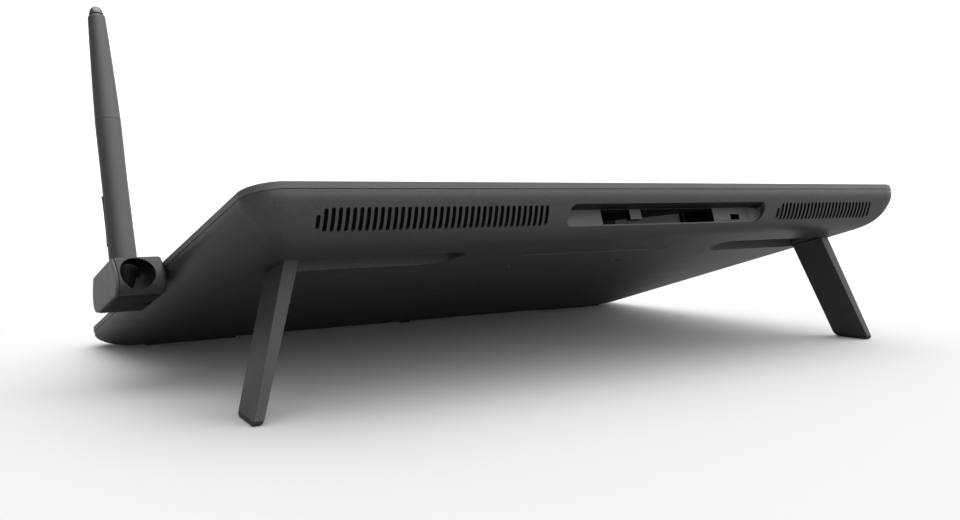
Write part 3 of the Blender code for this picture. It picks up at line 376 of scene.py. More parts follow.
# ---------------------------------------------------------------- mesh helpers
def ring_loft(rings, closed=False, cap_first=True, cap_last=True):
    bm = bmesh.new()
    loops = [[bm.verts.new(point) for point in ring] for ring in rings]
    pairs = list(zip(loops, loops[1:]))
    if closed:
        pairs.append((loops[-1], loops[0]))
    count = len(loops[0])
    for first, second in pairs:
        for index in range(count):
            after = (index + 1) % count
            bm.faces.new((first[index], first[after], second[after], second[index]))
    if not closed and cap_last:
        bm.faces.new(loops[-1])
    if not closed and cap_first:
        bm.faces.new(loops[0])
    bmesh.ops.recalc_face_normals(bm, faces=bm.faces)
    return bm


def box_bm(low, high):
    corners = [(low[0], low[1]), (high[0], low[1]), (high[0], high[1]), (low[0], high[1])]
    return ring_loft([[(x, y, z) for x, y in corners] for z in (low[2], high[2])])


def circle(radius, segments):
    angles = [2 * math.pi * index / segments for index in range(segments)]
    return [(radius * math.cos(angle), radius * math.sin(angle)) for angle in angles]


def drum_bm(radius, low, high, axis="Z", centre=(0, 0, 0), segments=40):
    """A plain cylinder along local Z or Y."""
    rings = []
    for height in (low, high):
        ring = []
        for a, b in circle(radius, segments):
            x, y, z = (a, b, height) if axis == "Z" else (a, height, b)
            ring.append((x + centre[0], y + centre[1], z + centre[2]))
        rings.append(ring)
    return ring_loft(rings)


def lathe_bm(profile, segments, closed=True):
    """A turned body about local Z from (radius, height) points: a closed loop, or a capped stack."""
    rings = [[(x, y, height) for x, y in circle(radius, segments)] for radius, height in profile]
    return ring_loft(rings, closed)


def merge_bms(pieces):
    whole = bmesh.new()
    for piece in pieces:
        scratch = bpy.data.meshes.new("scratch")
        piece.to_mesh(scratch)
        piece.free()
        whole.from_mesh(scratch)
        bpy.data.meshes.remove(scratch)
    return whole


def place(name, bm, matrix):
    """A mesh object whose vertices are already in the row frame."""
    bm.transform(matrix)
    mesh = bpy.data.meshes.new(name)
    bm.to_mesh(mesh)
    bm.free()
    item = bpy.data.objects.new(name, mesh)
    bpy.context.scene.collection.objects.link(item)
    return item


def settle(item):
    """Apply the modifiers to the mesh."""
    bpy.context.view_layer.update()
    graph = bpy.context.evaluated_depsgraph_get()
    mesh = bpy.data.meshes.new_from_object(item.evaluated_get(graph))
    item.modifiers.clear()
    old = item.data
    item.data = mesh
    bpy.data.meshes.remove(old)


def discard(item):
    mesh = item.data
    bpy.data.objects.remove(item)
    bpy.data.meshes.remove(mesh)


def combine(item, bm, matrix, operation="DIFFERENCE"):
    """Cut or join one shape with another and keep the result."""
    other = place("cutter", bm, matrix)
    mod = item.modifiers.new("join", "BOOLEAN")
    mod.operation = operation
    mod.solver = "EXACT"
    mod.object = other
    settle(item)
    discard(other)


def spend(item, used, operation="DIFFERENCE"):
    """Cut or join one placed shape with another, which is used up."""
    scratch = bmesh.new()
    scratch.from_mesh(used.data)
    combine(item, scratch, Matrix.Identity(4), operation)
    discard(used)


def round_edges(item, width, segments=3, angle=40):
    mod = item.modifiers.new("round", "BEVEL")
    mod.width = width * 0.001
    mod.segments = segments
    mod.limit_method = "ANGLE"
    mod.angle_limit = math.radians(angle)
    mod.use_clamp_overlap = True
    settle(item)


def finish_piece(item, mat, body, nodes, angle=32):
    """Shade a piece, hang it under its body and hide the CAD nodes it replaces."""
    mesh = item.data
    mesh.materials.clear()
    mesh.materials.append(mat)
    mesh.shade_smooth()
    mesh.set_sharp_from_angle(angle=math.radians(angle))
    weigh = item.modifiers.new("even_normals", "WEIGHTED_NORMAL")
    weigh.keep_sharp = True
    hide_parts(*nodes)
    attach(item, body)


def paint_light_shade(item, mat, chosen):
    """Paint light or shade: a second material on the faces picked by a test on their centre and normal in
    the tablet's frame.
    """
    mesh = item.data
    mesh.materials.append(mat)
    index = len(mesh.materials) - 1
    inverse = TABLET.inverted()
    turn = inverse.to_3x3()
    for face in mesh.polygons:
        if chosen(inverse @ face.center, (turn @ face.normal).normalized()):
            face.material_index = index


# ---------------------------------------------------------------- outlines
def rounded_outline(half_u, low_v, high_v, radius, segments=SEGMENTS):
    radius = max(radius, 0.05)
    centres = (
        (half_u - radius, high_v - radius, 0),
        (-half_u + radius, high_v - radius, 90),
        (-half_u + radius, low_v + radius, 180),
        (half_u - radius, low_v + radius, 270),
    )
    points = []
    for cu, cv, start in centres:
        for step in range(segments + 1):
            angle = math.radians(start + 90 * step / segments)
            points.append((cu + radius * math.cos(angle), cv + radius * math.sin(angle)))
    return points


def body_ring(inset, w, radius=None):
    if radius is None:
        radius = CORNER_RADIUS - inset
    outline = rounded_outline(WIDTH / 2 - inset, inset, DEPTH - inset, radius)
    return [(u + BODY_CENTRE, v, w(u, v) if callable(w) else w) for u, v in outline]


def cover_height(inset, v):
    share = min(max(inset - COVER_INSET, 0.0) / EDGE_REACH, 1.0)
    fall = 1.0 - (1.0 - share) ** EDGE_POWER
    return COVER_LIP - (BACK_DEPTH + BACK_SLOPE * v + COVER_LIP) * fall


# ---------------------------------------------------------------- body
def cover_skin_bm(rings=34):
    """The outer skin from the parting line down to the flat back, open at the top."""
    loops = [body_ring(COVER_INSET + 0.12, RIM_UNDERSIDE), body_ring(COVER_INSET, RIM_UNDERSIDE - 0.1)]
    blend_top, blend_end = LIP_BLEND
    for step in range(7):
        share = step / 6
        start, middle, end = (1 - share) ** 2, 2 * share * (1 - share), share ** 2
        inset = COVER_INSET * (start + middle) + blend_end * end

        def blended(u, v, a=start, b=middle, c=end):
            return blend_top * a + COVER_LIP * b + cover_height(blend_end, v) * c
        loops.append(body_ring(inset, blended))
    for step in range(rings + 1):
        inset = COVER_INSET + EDGE_REACH * (step / rings) ** 1.6
        if inset < blend_end + 0.3:
            continue
        share = (inset - COVER_INSET) / EDGE_REACH
        radius = CORNER_RADIUS - inset + EDGE_CORNER_GROWTH * EDGE_REACH * share ** 2
        loops.append(body_ring(inset, lambda u, v, i=inset: cover_height(i, v), radius))
    return ring_loft(loops, cap_first=False)


def well_bm(side, grow, low_z, high_z, steps=18):
    """A leg well, or its block when grown by the wall: one inner corner is a wide sweep, one is small."""
    inner = WELL_INNER - grow
    low_v = LEG_V[0] - WELL_SIDE_GAP - grow
    high_v = LEG_V[1] + WELL_SIDE_GAP + grow
    sweep_u, sweep_v = (reach + grow for reach in WELL_SWEEP)
    rear = WELL_REAR_RADIUS + grow
    corners = ((sweep_u, sweep_v, low_v + sweep_v, 270), (rear, rear, high_v - rear, 180))
    rings = []
    for height in (low_z, high_z):
        reach = (LEG_HEAD + WELL_HEAD_GAP + grow) / math.cos(LEG_ANGLE)
        outer = LEG_U + reach + (LEG_HEIGHT - height) * math.tan(LEG_ANGLE)
        ring = [(outer, high_v), (outer, low_v)]
        for reach_u, reach_v, centre_v, start in corners:
            for step in range(steps + 1):
                angle = math.radians(start - 90 * step / steps)
                u = inner + reach_u + reach_u * math.cos(angle)
                ring.append((u, centre_v + reach_v * math.sin(angle)))
        rings.append([(side * u, v, height) for u, v in ring])
    return ring_loft(rings)


def vent_frame():
    """The rear wall's frame at u = 0 (x along it, y up the slots, z inward) and the slots' length."""
    ends = [(DEPTH - inset, cover_height(inset, DEPTH - inset)) for inset in VENT_INSETS]
    top, bottom = (Vector((0, v, w)) for v, w in ends)
    along = (top - bottom).normalized()
    across = Vector((1, 0, 0))
    basis = Matrix((across, along, across.cross(along))).transposed().to_4x4()
    return Matrix.Translation((top + bottom) / 2) @ basis, (top - bottom).length


def vent_bms():
    """Slots with round ends along the slanted rear wall; those at the ends of a group are cut shorter."""
    base, full_length = vent_frame()
    slots = []
    for start, count, first_lean, last_lean in VENT_GROUPS:
        for index in range(count):
            top_cut, bottom_cut = VENT_END_CUTS.get(index if index < count - 1 else -1, (0.0, 0.0))
            length = full_length * (1 - top_cut - bottom_cut)
            lean = math.radians(first_lean + (last_lean - first_lean) * index / (count - 1))
            end = length / 2 - VENT_RADIUS
            outline = []
            for centre, first_angle in ((end, 0), (-end, 180)):
                for step in range(7):
                    angle = math.radians(first_angle + 30 * step)
                    outline.append((VENT_RADIUS * math.cos(angle), centre + VENT_RADIUS * math.sin(angle)))
            slot = ring_loft([[(x, y, z) for x, y in outline] for z in (-VENT_DEPTH, VENT_DEPTH)])
            shift = full_length * (bottom_cut - top_cut) / 2
            middle = Matrix.Translation((start - index * VENT_PITCH, shift, 0))
            slot.transform(base @ middle @ Matrix.Rotation(-lean, 4, "Z"))
            slots.append(slot)
    return slots


def vent_shade_sheet_bms():
    """A dark sheet behind each group of slots, coloured with painted shade."""
    base, full_length = vent_frame()
    strips = []
    for start, count, _, _ in VENT_GROUPS:
        strip = box_bm((start - count * VENT_PITCH, -full_length / 2 - 1, VENT_DEPTH + 0.2),
                       (start + VENT_PITCH, full_length / 2 + 1, VENT_DEPTH + 0.7))
        strip.transform(base)
        strips.append(strip)
    return strips


def in_vents(centre, normal):
    """The faces that get painted shade: the walls of the slots apart from their lower ends, and the dark
    sheet behind them.
    """
    base, full_length = vent_frame()
    local = base.inverted() @ centre
    turned = base.to_3x3().transposed() @ normal
    facing = abs(turned.z)
    beside = any(start - count * VENT_PITCH - 1 < local.x < start + VENT_PITCH + 1
                 for start, count, _, _ in VENT_GROUPS)
    if not beside or abs(local.y) > full_length / 2 + 1.5 or abs(local.z) > VENT_DEPTH + 1:
        return False
    sill = turned.y > 0.5 and local.z < 1.5
    return (facing < 0.6 and not sill) or local.z > VENT_DEPTH


def bay_bm(shrink, low_v, high_v):
    """The port bay's opening, a long hole with round corners, between two depths."""
    centre = (BAY["left"] + BAY["right"]) / 2
    half = (BAY["left"] - BAY["right"]) / 2 - shrink
    low, high = BAY["bottom"] + shrink, BAY["top"] - shrink
    outline = rounded_outline(half, low, high, BAY["corner"] - shrink, 14)
    return ring_loft([[(centre + u, v, w) for u, w in outline] for v in (low_v, high_v)])


def mount_places():
    shifts = (-MOUNT_HALF, MOUNT_HALF)
    return [(u, MOUNT_CENTRE_V + v) for u in reversed(shifts) for v in shifts]


def stepped_bm(u, v, steps):
    """A stepped round hole or boss in the back plane from (radius, height) points."""
    return ring_loft([[(u + x, v + y, height) for x, y in circle(radius, 32)] for radius, height in steps])


def make_shell():
    shell = place("shell", cover_skin_bm(), TABLET)
    largest = max(shell.data.polygons, key=lambda face: face.area)
    if largest.normal.z > 0:
        shell.data.flip_normals()
    wall = shell.modifiers.new("wall", "SOLIDIFY")
    wall.thickness = COVER_WALL * 0.001
    wall.offset = -1
    wall.use_even_offset = True
    settle(shell)
    blocks = [well_bm(side, WELL_WALL, 0.6, WELL_DEPTH + WELL_WALL) for side in (1, -1)]
    blocks += [stepped_bm(u, v, ((MOUNT_BOSS, 0.6), (MOUNT_BOSS, 6.0))) for u, v in mount_places()]
    combine(shell, merge_bms(blocks), BACK, "UNION")
    cuts = [well_bm(side, 0.0, -2, WELL_DEPTH) for side in (1, -1)]
    cuts += [stepped_bm(u, v, ((2.5, -1), (2.5, 0), (2.2, 0.3), (2.2, 2), (3.3, 2), (3.3, 8)))
             for u, v in mount_places()]
    cuts.append(box_bm((-LABEL_HALF_U, LABEL_V[0], -1), (LABEL_HALF_U, LABEL_V[1], LABEL_DEPTH)))
    combine(shell, merge_bms(cuts), BACK)
    combine(shell, stepped_bm(LABEL_HALF_U, 232.6, ((1.6, -1), (1.6, 1.6))), BACK)
    combine(shell, merge_bms(vent_bms()), TABLET)
    # A dark sheet of painted shade behind the slots.
    combine(shell, merge_bms(vent_shade_sheet_bms()), TABLET, "UNION")
    combine(shell, bay_bm(0.0, 262, 292), TABLET)
    slots = []
    for middle in (207, -207):
        low = (middle - 7, HOLDER_V - 9.3, TONGUE_W[0])
        slots.append(box_bm(low, (middle + 7, HOLDER_V + 9.3, TONGUE_W[1])))
    combine(shell, merge_bms(slots), TABLET)
    finish_piece(shell, SHELL, "tablet", ["rear_cover"], 36)

    # Painted shade: the bay's and the leg wells' ceilings and the slots' walls get the near-black colour.
    def painted_shade_faces(at, n):
        bay_ceiling = at.y > 268 and at.z > -11 and n.z < -0.95
        well_ceiling = 215 < at.y < 247 and -15 < at.z < -11 and n.z < -0.9
        return in_vents(at, n) or bay_ceiling or well_ceiling
    paint_light_shade(shell, PAINTED_SHADE, painted_shade_faces)
    # Painted light on the leg wells' front walls.
    paint_light_shade(shell, PAINTED_WELL_LIGHT, lambda at, n: 215 < at.y < 227 and n.y > 0.35)
    # Painted highlight: the label recess's wall facing up the slope is coloured paler.
    label_edge = LABEL_HALF_U + 0.5
    paint_light_shade(shell, SATIN_AND_EDGE_LIGHT, lambda at, n: 228 < at.y < 233 and n.y > 0.9 and abs(at.x) < label_edge)


def make_rim():
    """The frame round the screen as (inset, height) points: a rounded outer edge, a seat and a flange."""
    section = (
        (0.15, -3.2), (0.0, -3.05), (0.0, -0.95), (0.07, -0.6), (0.25, -0.3), (0.5, -0.1), (0.85, 0.0),
        (2.2, 0.0), (2.3, -0.1), (2.3, -1.9), (8.0, -1.9), (8.0, -3.2),
    )
    rim = place("rim", ring_loft([body_ring(inset, w) for inset, w in section], closed=True), TABLET)
    finish_piece(rim, RIM, "tablet", ["front_frame"], 40)


def make_screen():
    rings = [body_ring(2.75, -0.1), body_ring(2.62, -0.16), body_ring(2.6, -0.3), body_ring(2.6, -1.6)]
    sheet = place("screen", ring_loft(rings), TABLET)
    button_hole = drum_bm(3.8, -3, 1, centre=BUTTON_PLACE)
    lamp_hole = drum_bm(1.3, -3, 1, centre=LAMP_PLACE, segments=24)
    combine(sheet, merge_bms([button_hole, lamp_hole]), TABLET)
    finish_piece(sheet, SCREEN, "tablet", ["cover_sheet"])


def inner_skin(inset, gap):
    """The point a wall and a gap inside the rear wall's skin, as (v, w)."""
    v = DEPTH - inset
    rise = cover_height(inset + 0.1, v - 0.1) - cover_height(inset, v)
    length = math.hypot(0.1, rise)
    depth = COVER_WALL + gap
    return v + rise / length * depth, cover_height(inset, v) + 0.1 / length * depth


def make_tray():
    """The bay's moulding: two blocks, a hook, a slanted cable ramp, a thin rib and two socket pockets."""
    low_w = BAY["bottom"] + 0.3
    outline = [(TRAY_BACK, low_w), (TRAY_BACK, TRAY_ROOF)]
    for index in range(15):
        v, w = inner_skin(0.8 + 1.2 * index, 0.5)
        if low_w < w < TRAY_ROOF:
            outline.append((v, w))
    outline.append((outline[-1][0] - 1.5, low_w))
    ends = (BAY["right"] - 2.5, BAY["left"] + 2.5)
    tray = place("bay_moulding", ring_loft([[(u, v, w) for v, w in outline] for u in ends]), TABLET)
    combine(tray, bay_bm(0.0, BAY["face"], 292), TABLET)
    combine(tray, bay_bm(0.3, 262, BAY["face"]), TABLET, "UNION")
    plan = (
        (29.4, 300), (29.4, 253), (2.9, 253), (-33.4, 263.4), (-33.4, 266.2), (-34.0, 266.2), (-34.0, 253),
        (-49.0, 253), (-49.0, 300),
    )
    heights = (BAY["bottom"] + 1.1, BAY["top"] - 0.1)
    channel = place("channel", ring_loft([[(u, v, w) for u, v in plan] for w in heights]), TABLET)
    hook = box_bm((2.9, 269.5, -15.1), (10.5, BAY["face"], -6))
    combine(channel, hook, TABLET)
    spend(tray, channel)
    socket_seats = (((25, 255.0, -16.9), (41.3, 267.5, -9.6)), ((-61.3, 254.5, -16.4), (-45, 267.0, -9.8)))
    lock_cuts = (((-69.0, 267.0, -16.6), (-62.2, 280, -13.5)), ((-74.0, 264.0, -30), (-62.0, 267.9, -10.4)))
    for low, high in socket_seats + lock_cuts:
        combine(tray, box_bm(low, high), TABLET)
    corner = [(BAY["right"] - 0.2, BAY["face"] - 0.5), (BAY["right"] + BAY_FILLET, BAY["face"] - 0.5)]
    for step in range(15):
        angle = math.radians(90 * step / 14)
        u = BAY["right"] + BAY_FILLET * (1 - math.sin(angle))
        corner.append((u, BAY["face"] + BAY_FILLET * (1 - math.cos(angle))))
    levels = (BAY["bottom"], BAY["top"])
    fillet = place("fillet", ring_loft([[(u, v, w) for u, v in corner] for w in levels]), TABLET)
    combine(fillet, bay_bm(0.3, 262, 292), TABLET, "INTERSECT")
    spend(tray, fillet, "UNION")
    round_edges(tray, 0.22, 2, 50)
    finish_piece(tray, TRAY, "tablet", ["port_tray"])
    middle = (BAY["left"] + BAY["right"]) / 2
    end_zone = (BAY["left"] - BAY["right"]) / 2 - 5

    # Painted shade: every face of the bay moulding but the fronts and the end walls gets the near-black
    # colour.
    def shaded(at, n):
        front = n.y > 0.9 and (at.y > BAY["face"] - 1.5 or -33 < at.x < 3)
        end_wall = abs(at.x - middle) > end_zone and n.z > -0.6
        return not front and not end_wall
    paint_light_shade(tray, PAINTED_SHADE, shaded)


# ---------------------------------------------------------------- legs
def leg_thickness(depth):
    """The bar tapers from its head to its tip."""
    return 2 * LEG_HEAD + (LEG_TIP - 2 * LEG_HEAD) * depth / LEG_LENGTH


def leg_section(inset, side_inset, radius, steps=5):
    """The bar's cross-section as (face, distance from it, v): face 1 is the outer one, 0 the inner one."""
    low, high = LEG_V[0] + side_inset, LEG_V[1] - side_inset
    points = []
    for face, v_edge, direction in ((1, low, 1), (1, high, -1), (0, high, -1), (0, low, 1)):
        arc = []
        for step in range(steps + 1):
            angle = math.radians(90 * step / steps)
            distance = inset + radius * (1 - math.cos(angle))
            arc.append((face, distance, v_edge + direction * radius * (1 - math.sin(angle))))
        if (face == 1) == (direction == 1):
            arc.reverse()
        points += arc
    return points


def leg_frame(side):
    axis = Matrix.Translation((side * LEG_U, 0, LEG_HEIGHT))
    return BACK @ axis @ Matrix.Rotation(-side * LEG_ANGLE, 4, "Y")


def leg_point(side, face, distance, v, depth):
    outer = LEG_HEAD - distance
    inner = LEG_HEAD - leg_thickness(depth) + distance
    return Vector((side * (outer if face else inner), v, -depth))


def depth_at(side, matrix, face, distance, v, level):
    """How far down the leg a line along its face meets a height above the table."""
    top = (matrix @ leg_point(side, face, distance, v, 0.0)).z * 1000
    end = (matrix @ leg_point(side, face, distance, v, LEG_LENGTH)).z * 1000
    return LEG_LENGTH * (top - level) / (top - end)


def leg_rings(side, stations, radius):
    """Rings down the leg; a station is (face inset, side inset, share of the depth, level)."""
    matrix = leg_frame(side)
    rings = []
    for inset, side_inset, share, level in stations:
        ring = []
        for face, distance, v in leg_section(inset, side_inset, radius):
            depth = depth_at(side, matrix, face, distance, v, level) * share
            ring.append(leg_point(side, face, distance, v, depth))
        rings.append(ring)
    return rings


def make_leg(side, word):
    matrix = leg_frame(side)
    stations = [(0.0, 0.0, 0.04 + 0.96 * step / 12, 3.1) for step in range(13)]
    stations += [(0.0, 0.06, 1.0, LEG_PAD_TOP + 0.02)]
    bar = place("leg_shell_" + word, ring_loft(leg_rings(side, stations, LEG_EDGE)), matrix)
    low, high = LEG_V
    rounding = (
        (0.7, low), (0.2, low + 0.2), (0.0, low + 0.7), (0.0, high - 0.7), (0.2, high - 0.2), (0.7, high),
    )
    head = [[(x, v, z) for x, z in circle(LEG_HEAD - inset, 48)] for inset, v in rounding]
    combine(bar, ring_loft(head), matrix, "UNION")
    combine(bar, drum_bm(PIN_BORE, low - 2, high + 2, "Y"), matrix)
    finish_piece(bar, LEG, "leg_" + word, ["leg_" + word])
    stations = (
        (0.0, 0.07, 1.0, LEG_PAD_TOP), (0.0, 0.17, 1.0, 2.0), (0.0, 0.42, 1.0, 1.5), (0.05, 0.8, 1.0, 1.0),
        (0.25, 1.4, 1.0, 0.5), (0.55, 2.1, 1.0, 0.15), (0.95, 2.9, 1.0, 0.0),
    )
    pad = place("leg_pad_" + word, ring_loft(leg_rings(side, stations, 0.4)), matrix)
    finish_piece(pad, PAD, "leg_" + word, ["leg_foot_" + word])


# ---------------------------------------------------------------- front feet
def make_front_feet():
    """Rubber strips under the front edge: flat on the table, and running a little way into the cover."""
    upper = [(v, cover_height(v, v) + 0.6) for v in (9.0, 11.0, 13.0, 15.0, 17.0)]
    lower = [(v, -(GROUND_BELOW_EDGE + v * math.sin(TILT)) / math.cos(TILT)) for v in (17.0, 9.0)]
    for word, centre, half in FRONT_FEET:
        rings = [[(u, v, w) for v, w in upper + lower] for u in (centre - half, centre + half)]
        foot = place("front_pad_" + word, ring_loft(rings), TABLET)
        round_edges(foot, 0.25, 2, 50)
        finish_piece(foot, RUBBER, "tablet", ["front_foot_" + word])


# ---------------------------------------------------------------- pen holder
def holder_ring(shrink, steps=22):
    """The holder's outline seen along the body's side: flat above and below, with bulged ends."""
    top = HOLDER_TOP - shrink
    bottom = HOLDER_TOP - HOLDER_HEIGHT + shrink
    half = HOLDER_FLAT / 2 - shrink
    points = []
    for side in (1, -1):
        for step in range(steps + 1):
            share = step / steps
            height = bottom + (top - bottom) * (share if side > 0 else 1 - share)
            along = (share if side > 0 else 1 - share) ** 0.66
            points.append((HOLDER_V + side * (half + HOLDER_BULGE * 4 * along * (1 - along)), height))
    return points


def make_holder():
    near, far = HOLDER_U[:2]
    stations = (
        (near, 1.9), (near + 0.15, 1.3), (near + 0.5, 0.75), (near + 1.0, 0.35), (near + 1.6, 0.1),
        (near + 2.3, 0.0), (far - 0.2, 0.0), (far - 0.05, 0.06), (far, 0.2),
    )
    rings = [[(u, v, w) for v, w in holder_ring(cut)] for u, cut in stations]
    body = place("holder_body", ring_loft(rings), TABLET)
    combine(body, drum_bm(BORE_RADIUS, 109, 190, "Y", (PEN_U, 0, BORE_W), 72), TABLET)
    combine(body, drum_bm(PEN_WELL_RADIUS, -13.8, 6, "Z", (PEN_U, HOLDER_V, 0), 72), TABLET)
    combine(body, box_bm((205, HOLDER_V - 9, TONGUE_W[0]), (216.4, HOLDER_V + 9, TONGUE_W[1])), TABLET)
    combine(body, drum_bm(SCREW_SHANK, -20, -8.0, "Z", (*SCREW_PLACE, 0)), TABLET)
    combine(body, drum_bm(SCREW_HEAD, -20, -13.6, "Z", (*SCREW_PLACE, 0)), TABLET)
    finish_piece(body, HOLDER, "tablet", ["pen_holder"], 30)

    # Painted shade: the bore, the pen well and the screw hole get the near-black colour.
    def inside(at, n):
        bore = math.hypot(at.x - PEN_U, at.z - BORE_W) < BORE_RADIUS + 0.05 and abs(n.y) < 0.3
        well = math.hypot(at.x - PEN_U, at.y - HOLDER_V) < PEN_WELL_RADIUS + 0.05 and abs(n.z) < 0.3
        screw = math.hypot(at.x - SCREW_PLACE[0], at.y - SCREW_PLACE[1]) < SCREW_HEAD + 0.05 and at.z < -7.9
        return bore or well or screw
    paint_light_shade(body, PAINTED_SHADE, inside)
    rings = [[(u, v, w) for v, w in holder_ring(0.25)] for u in (far + 0.05, HOLDER_U[2])]
    cap = place("holder_end_cap", ring_loft(rings), TABLET)
    round_edges(cap, 0.45, 3, 40)
    finish_piece(cap, CAP, "tablet", ["holder_cap"], 30)


# ---------------------------------------------------------------- pen
def make_pen():
    """The pen's turned pieces as (radius, height above the nib's point)."""
    barrel = (
        (5.75, 89.6), (6.0, 89.6), (6.1, 89.5), (6.1, 78.0), (6.03, 66.0), (6.03, 57.0), (6.12, 47.0),
        (6.27, 35.0), (6.39, 26.0), (6.42, 20.0), (6.38, 17.5), (6.2, 15.2), (5.8, 12.6), (5.2, 10.3),
        (4.5, 8.2), (3.8, 6.2), (3.3, 5.1), (3.2, 4.95), (3.2, 8.3), (3.8, 11.5), (4.5, 15.0), (4.7, 20.0),
        (4.7, 45.0), (4.6, 89.6),
    )
    body = place("pen_grip", lathe_bm(barrel, 72), PEN)
    turn = PEN @ Matrix.Rotation(ROCKER_TURN, 4, "Z")
    combine(body, box_bm((3.6, -2.6, ROCKER_LOW - 0.4), (9.0, 2.6, ROCKER_HIGH + 0.4)), turn)
    finish_piece(body, PEN_SOFT, "pen", ["pen_barrel"], 35)
    # Painted shade: the grip below the holder's top is coloured darker.
    paint_light_shade(body, GRIP_PAINTED_SHADE, lambda at, n: at.z < 1.0)
    tail = (
        (3.8, 145.9), (4.0, 145.85), (4.15, 145.6), (4.25, 144.5), (4.75, 132.0), (5.3, 117.0),
        (5.75, 103.0), (6.09, 89.8), (6.0, 89.7), (5.8, 89.66), (5.2, 89.66), (4.8, 103.0), (4.0, 120.0),
        (3.3, 135.0), (3.0, 145.9),
    )
    skin = place("pen_tail_skin", lathe_bm(tail, 72), PEN)
    finish_piece(skin, PEN_BODY, "pen", ["pen_tail"], 35)
    cone = (
        (2.5, 8.0), (2.9, 8.0), (2.9, 5.4), (2.75, 4.9), (2.3, 4.2), (1.5, 2.7), (1.3, 2.5), (1.05, 2.5),
        (1.05, 8.0),
    )
    finish_piece(place("pen_cone", lathe_bm(cone, 48), PEN), NIB, "pen", ["pen_tip_cone"], 35)
    nib = ((0.9, 14.0), (0.9, 2.0), (0.86, 1.3), (0.72, 0.65), (0.45, 0.2), (0.1, 0.0))
    finish_piece(place("pen_point", lathe_bm(nib, 32, False), PEN), NIB, "pen_nib", ["pen_nib"], 40)
    eraser = (
        (0.1, 151.4), (1.0, 151.27), (1.9, 150.8), (2.6, 150.0), (3.1, 149.0), (3.35, 147.9), (3.4, 147.2),
        (3.3, 147.0), (2.6, 147.0), (2.6, 142.0),
    )
    end = place("pen_end", lathe_bm(eraser, 48, False), PEN)
    finish_piece(end, ERASER, "pen_eraser", ["pen_eraser"], 40)
    make_rocker(turn)


def make_rocker(turn):
    """The side switch: a slim bar whose two ends stand a little higher than its waist."""
    reach = (ROCKER_HIGH - ROCKER_LOW) / 2
    middle = (ROCKER_HIGH + ROCKER_LOW) / 2
    outline = []
    for step in range(33):
        share = 2 * step / 32 - 1
        outline.append((0.85 + 0.28 * share ** 4, reach * share))
    outline.append((-0.4, reach - 0.4))
    outline.append((-0.4, -reach + 0.4))
    rings = [[(5.4 + x, y, middle + z) for x, z in outline] for y in (-2.35, 2.35)]
    rocker = place("pen_switch", ring_loft(rings), turn)
    round_edges(rocker, 0.45, 4, 45)
    finish_piece(rocker, ROCKER, "pen_rocker", ["pen_rocker"])


# ---------------------------------------------------------------- carried CAD nodes
CARRIED = {
    "power_button": SATIN_AND_EDGE_LIGHT, "power_lamp": LAMP, "button_board": BOARD, "display_panel": PANEL,
    "light_guide": GUIDE, "backlight_tray": SHEET_METAL, "sensor_board": BOARD, "shield_plate": SHEET_METAL,
    "main_board": BOARD, "display_cable": CABLE, "label_strip": LABEL, "dc_jack": DARK,
    "combo_port": PORT_METAL, "lock_plate": PORT_METAL, "port_board": BOARD, "holder_tongue": HOLDER,
    "holder_screw": STEEL, "pen_coil": COPPER, "pen_pressure_cell": DARK, "pen_circuit": BOARD,
}
for word in ("right", "left"):
    CARRIED["hinge_pin_" + word] = STEEL
    CARRIED["detent_spring_" + word] = STEEL
for index in range(1, 5):
    CARRIED["mount_insert_%d" % index] = BRASS


def dress_carried():
    """The CAD nodes that are kept as they are only get a finish."""
    for name, mat in CARRIED.items():
        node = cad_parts[name]
        node.data.materials.clear()
        node.data.materials.append(mat)


# ---------------------------------------------------------------- studio
def make_floor():
    """A pale sheet that runs flat under the tablet and sweeps up far behind it. Painted light falloff: it is
    coloured darker near the tablet and paler far off, its far part glows, and other rays see it darker than
    the camera does.
    """
    rows = [(3.0, 0.0), (1.0, 0.0), (0.0, 0.0), (-1.0, 0.0), (FLOOR_REAR, 0.0)]
    for step in range(1, 13):
        angle = math.radians(90 * step / 12)
        rows.append((FLOOR_REAR - FLOOR_SWEEP * math.sin(angle), FLOOR_SWEEP * (1 - math.cos(angle))))
    rows.append((FLOOR_REAR - FLOOR_SWEEP, 6.0))
    bm = bmesh.new()
    turn = Matrix.Rotation(FLOOR_TURN, 3, "Z")
    columns = [[bm.verts.new(turn @ Vector((x, y, z))) for y, z in rows] for x in (-6.0, 6.0)]
    near, far = columns
    for index in range(len(rows) - 1):
        bm.faces.new((near[index], far[index], far[index + 1], near[index + 1]))
    mesh = bpy.data.meshes.new("floor")
    bm.to_mesh(mesh)
    bm.free()
    mesh.shade_smooth()
    floor = bpy.data.objects.new("floor", mesh)
    bpy.context.scene.collection.objects.link(floor)
    mat, nodes, links, shader = new_material("floor_paper")
    coords = object_coords(nodes)
    along = nodes.new("ShaderNodeVectorMath")
    along.operation = "DOT_PRODUCT"
    along.inputs[1].default_value = turn @ Vector((0, -1, 0))
    links.new(coords, along.inputs[0])
    distance = remap(nodes, links, along.outputs["Value"], -0.45, 0.5, 0.0, 1.0)
    seen = mix_colour(nodes, links, distance, FLOOR_NEAR, FLOOR_FAR)
    direct = nodes.new("ShaderNodeLightPath").outputs["Is Camera Ray"]
    bounced = tuple(value * FLOOR_BOUNCE for value in FLOOR_NEAR)
    links.new(mix_colour(nodes, links, direct, bounced, seen), shader.inputs["Base Color"])
    shader.inputs["Roughness"].default_value = 0.75
    shader.inputs["Specular IOR Level"].default_value = 0.15
    shader.inputs["Emission Color"].default_value = (1, 1, 1, 1)
    glow = remap(nodes, links, along.outputs["Value"], 0.25, 1.6, 0.0, 0.5)
    links.new(glow, shader.inputs["Emission Strength"])
    mesh.materials.append(mat)


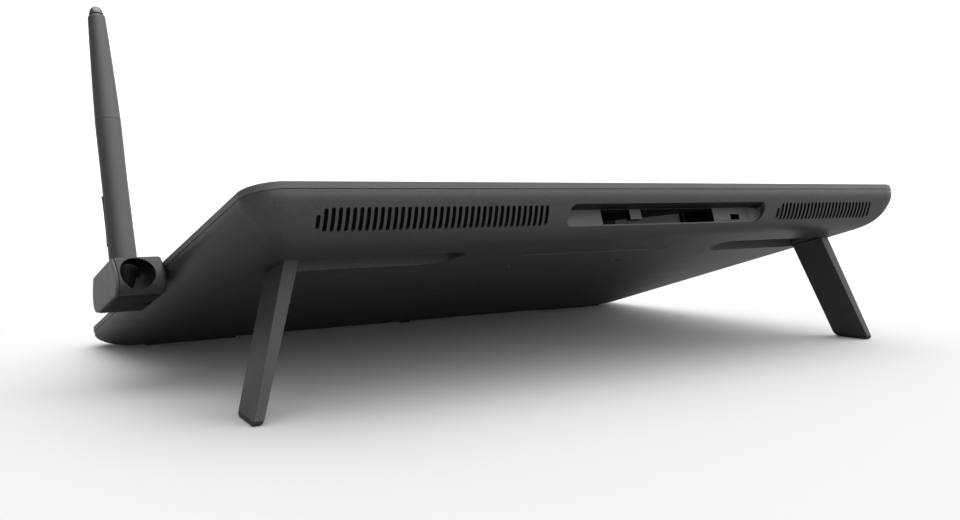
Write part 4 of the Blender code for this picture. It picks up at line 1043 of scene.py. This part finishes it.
def make_world():
    """White behind the object; its light comes mostly from above and from the camera's side."""
    world = bpy.data.worlds.new("studio")
    bpy.context.scene.world = world
    world.use_nodes = True
    nodes = world.node_tree.nodes
    links = world.node_tree.links
    soft = nodes["Background"]
    soft.inputs["Color"].default_value = (1, 1, 1, 1)
    toward = nodes.new("ShaderNodeVectorMath")
    toward.operation = "DOT_PRODUCT"
    toward.inputs[1].default_value = Vector(KEY_DIRECTION).normalized()
    links.new(nodes.new("ShaderNodeTexCoord").outputs["Generated"], toward.inputs[0])
    strength = remap(nodes, links, toward.outputs["Value"], -0.3, 0.9, SKY_DIM, SKY_BRIGHT)
    links.new(strength, soft.inputs["Strength"])
    white = nodes.new("ShaderNodeBackground")
    white.inputs["Color"].default_value = (1, 1, 1, 1)
    mix = nodes.new("ShaderNodeMixShader")
    links.new(nodes.new("ShaderNodeLightPath").outputs["Is Camera Ray"], mix.inputs[0])
    links.new(soft.outputs[0], mix.inputs[1])
    links.new(white.outputs[0], mix.inputs[2])
    links.new(mix.outputs[0], nodes["World Output"].inputs["Surface"])


def make_overhead():
    """A broad, weak light straight above the tablet."""
    data = bpy.data.lights.new("overhead", "AREA")
    data.shape = "RECTANGLE"
    data.size = 2.2
    data.size_y = 2.2
    data.energy = OVERHEAD_POWER
    item = bpy.data.objects.new("overhead", data)
    item.location = (0.1, 0.0, 1.9)
    item.rotation_euler = (Vector((0, 0.1, 0)) - item.location).to_track_quat("-Z", "Y").to_euler()
    bpy.context.scene.collection.objects.link(item)


def make_studio():
    bpy.context.scene.view_settings.view_transform = "Standard"
    make_world()
    make_overhead()
    make_floor()


def make_camera():
    """The photograph's viewing angle."""
    data = bpy.data.cameras.new("camera")
    data.sensor_width = 36.0
    data.lens = CAMERA_LENS
    data.clip_start = 0.01
    data.clip_end = 50
    data.dof.use_dof = False
    camera = bpy.data.objects.new("camera", data)
    camera.location = TABLET @ Vector(CAMERA_PLACE)
    camera.rotation_euler = CAMERA_TURN
    bpy.context.scene.collection.objects.link(camera)
    bpy.context.scene.camera = camera


make_camera()
make_studio()
make_shell()
make_rim()
make_screen()
make_tray()
make_leg(1, "right")
make_leg(-1, "left")
make_front_feet()
make_holder()
make_pen()
dress_carried()
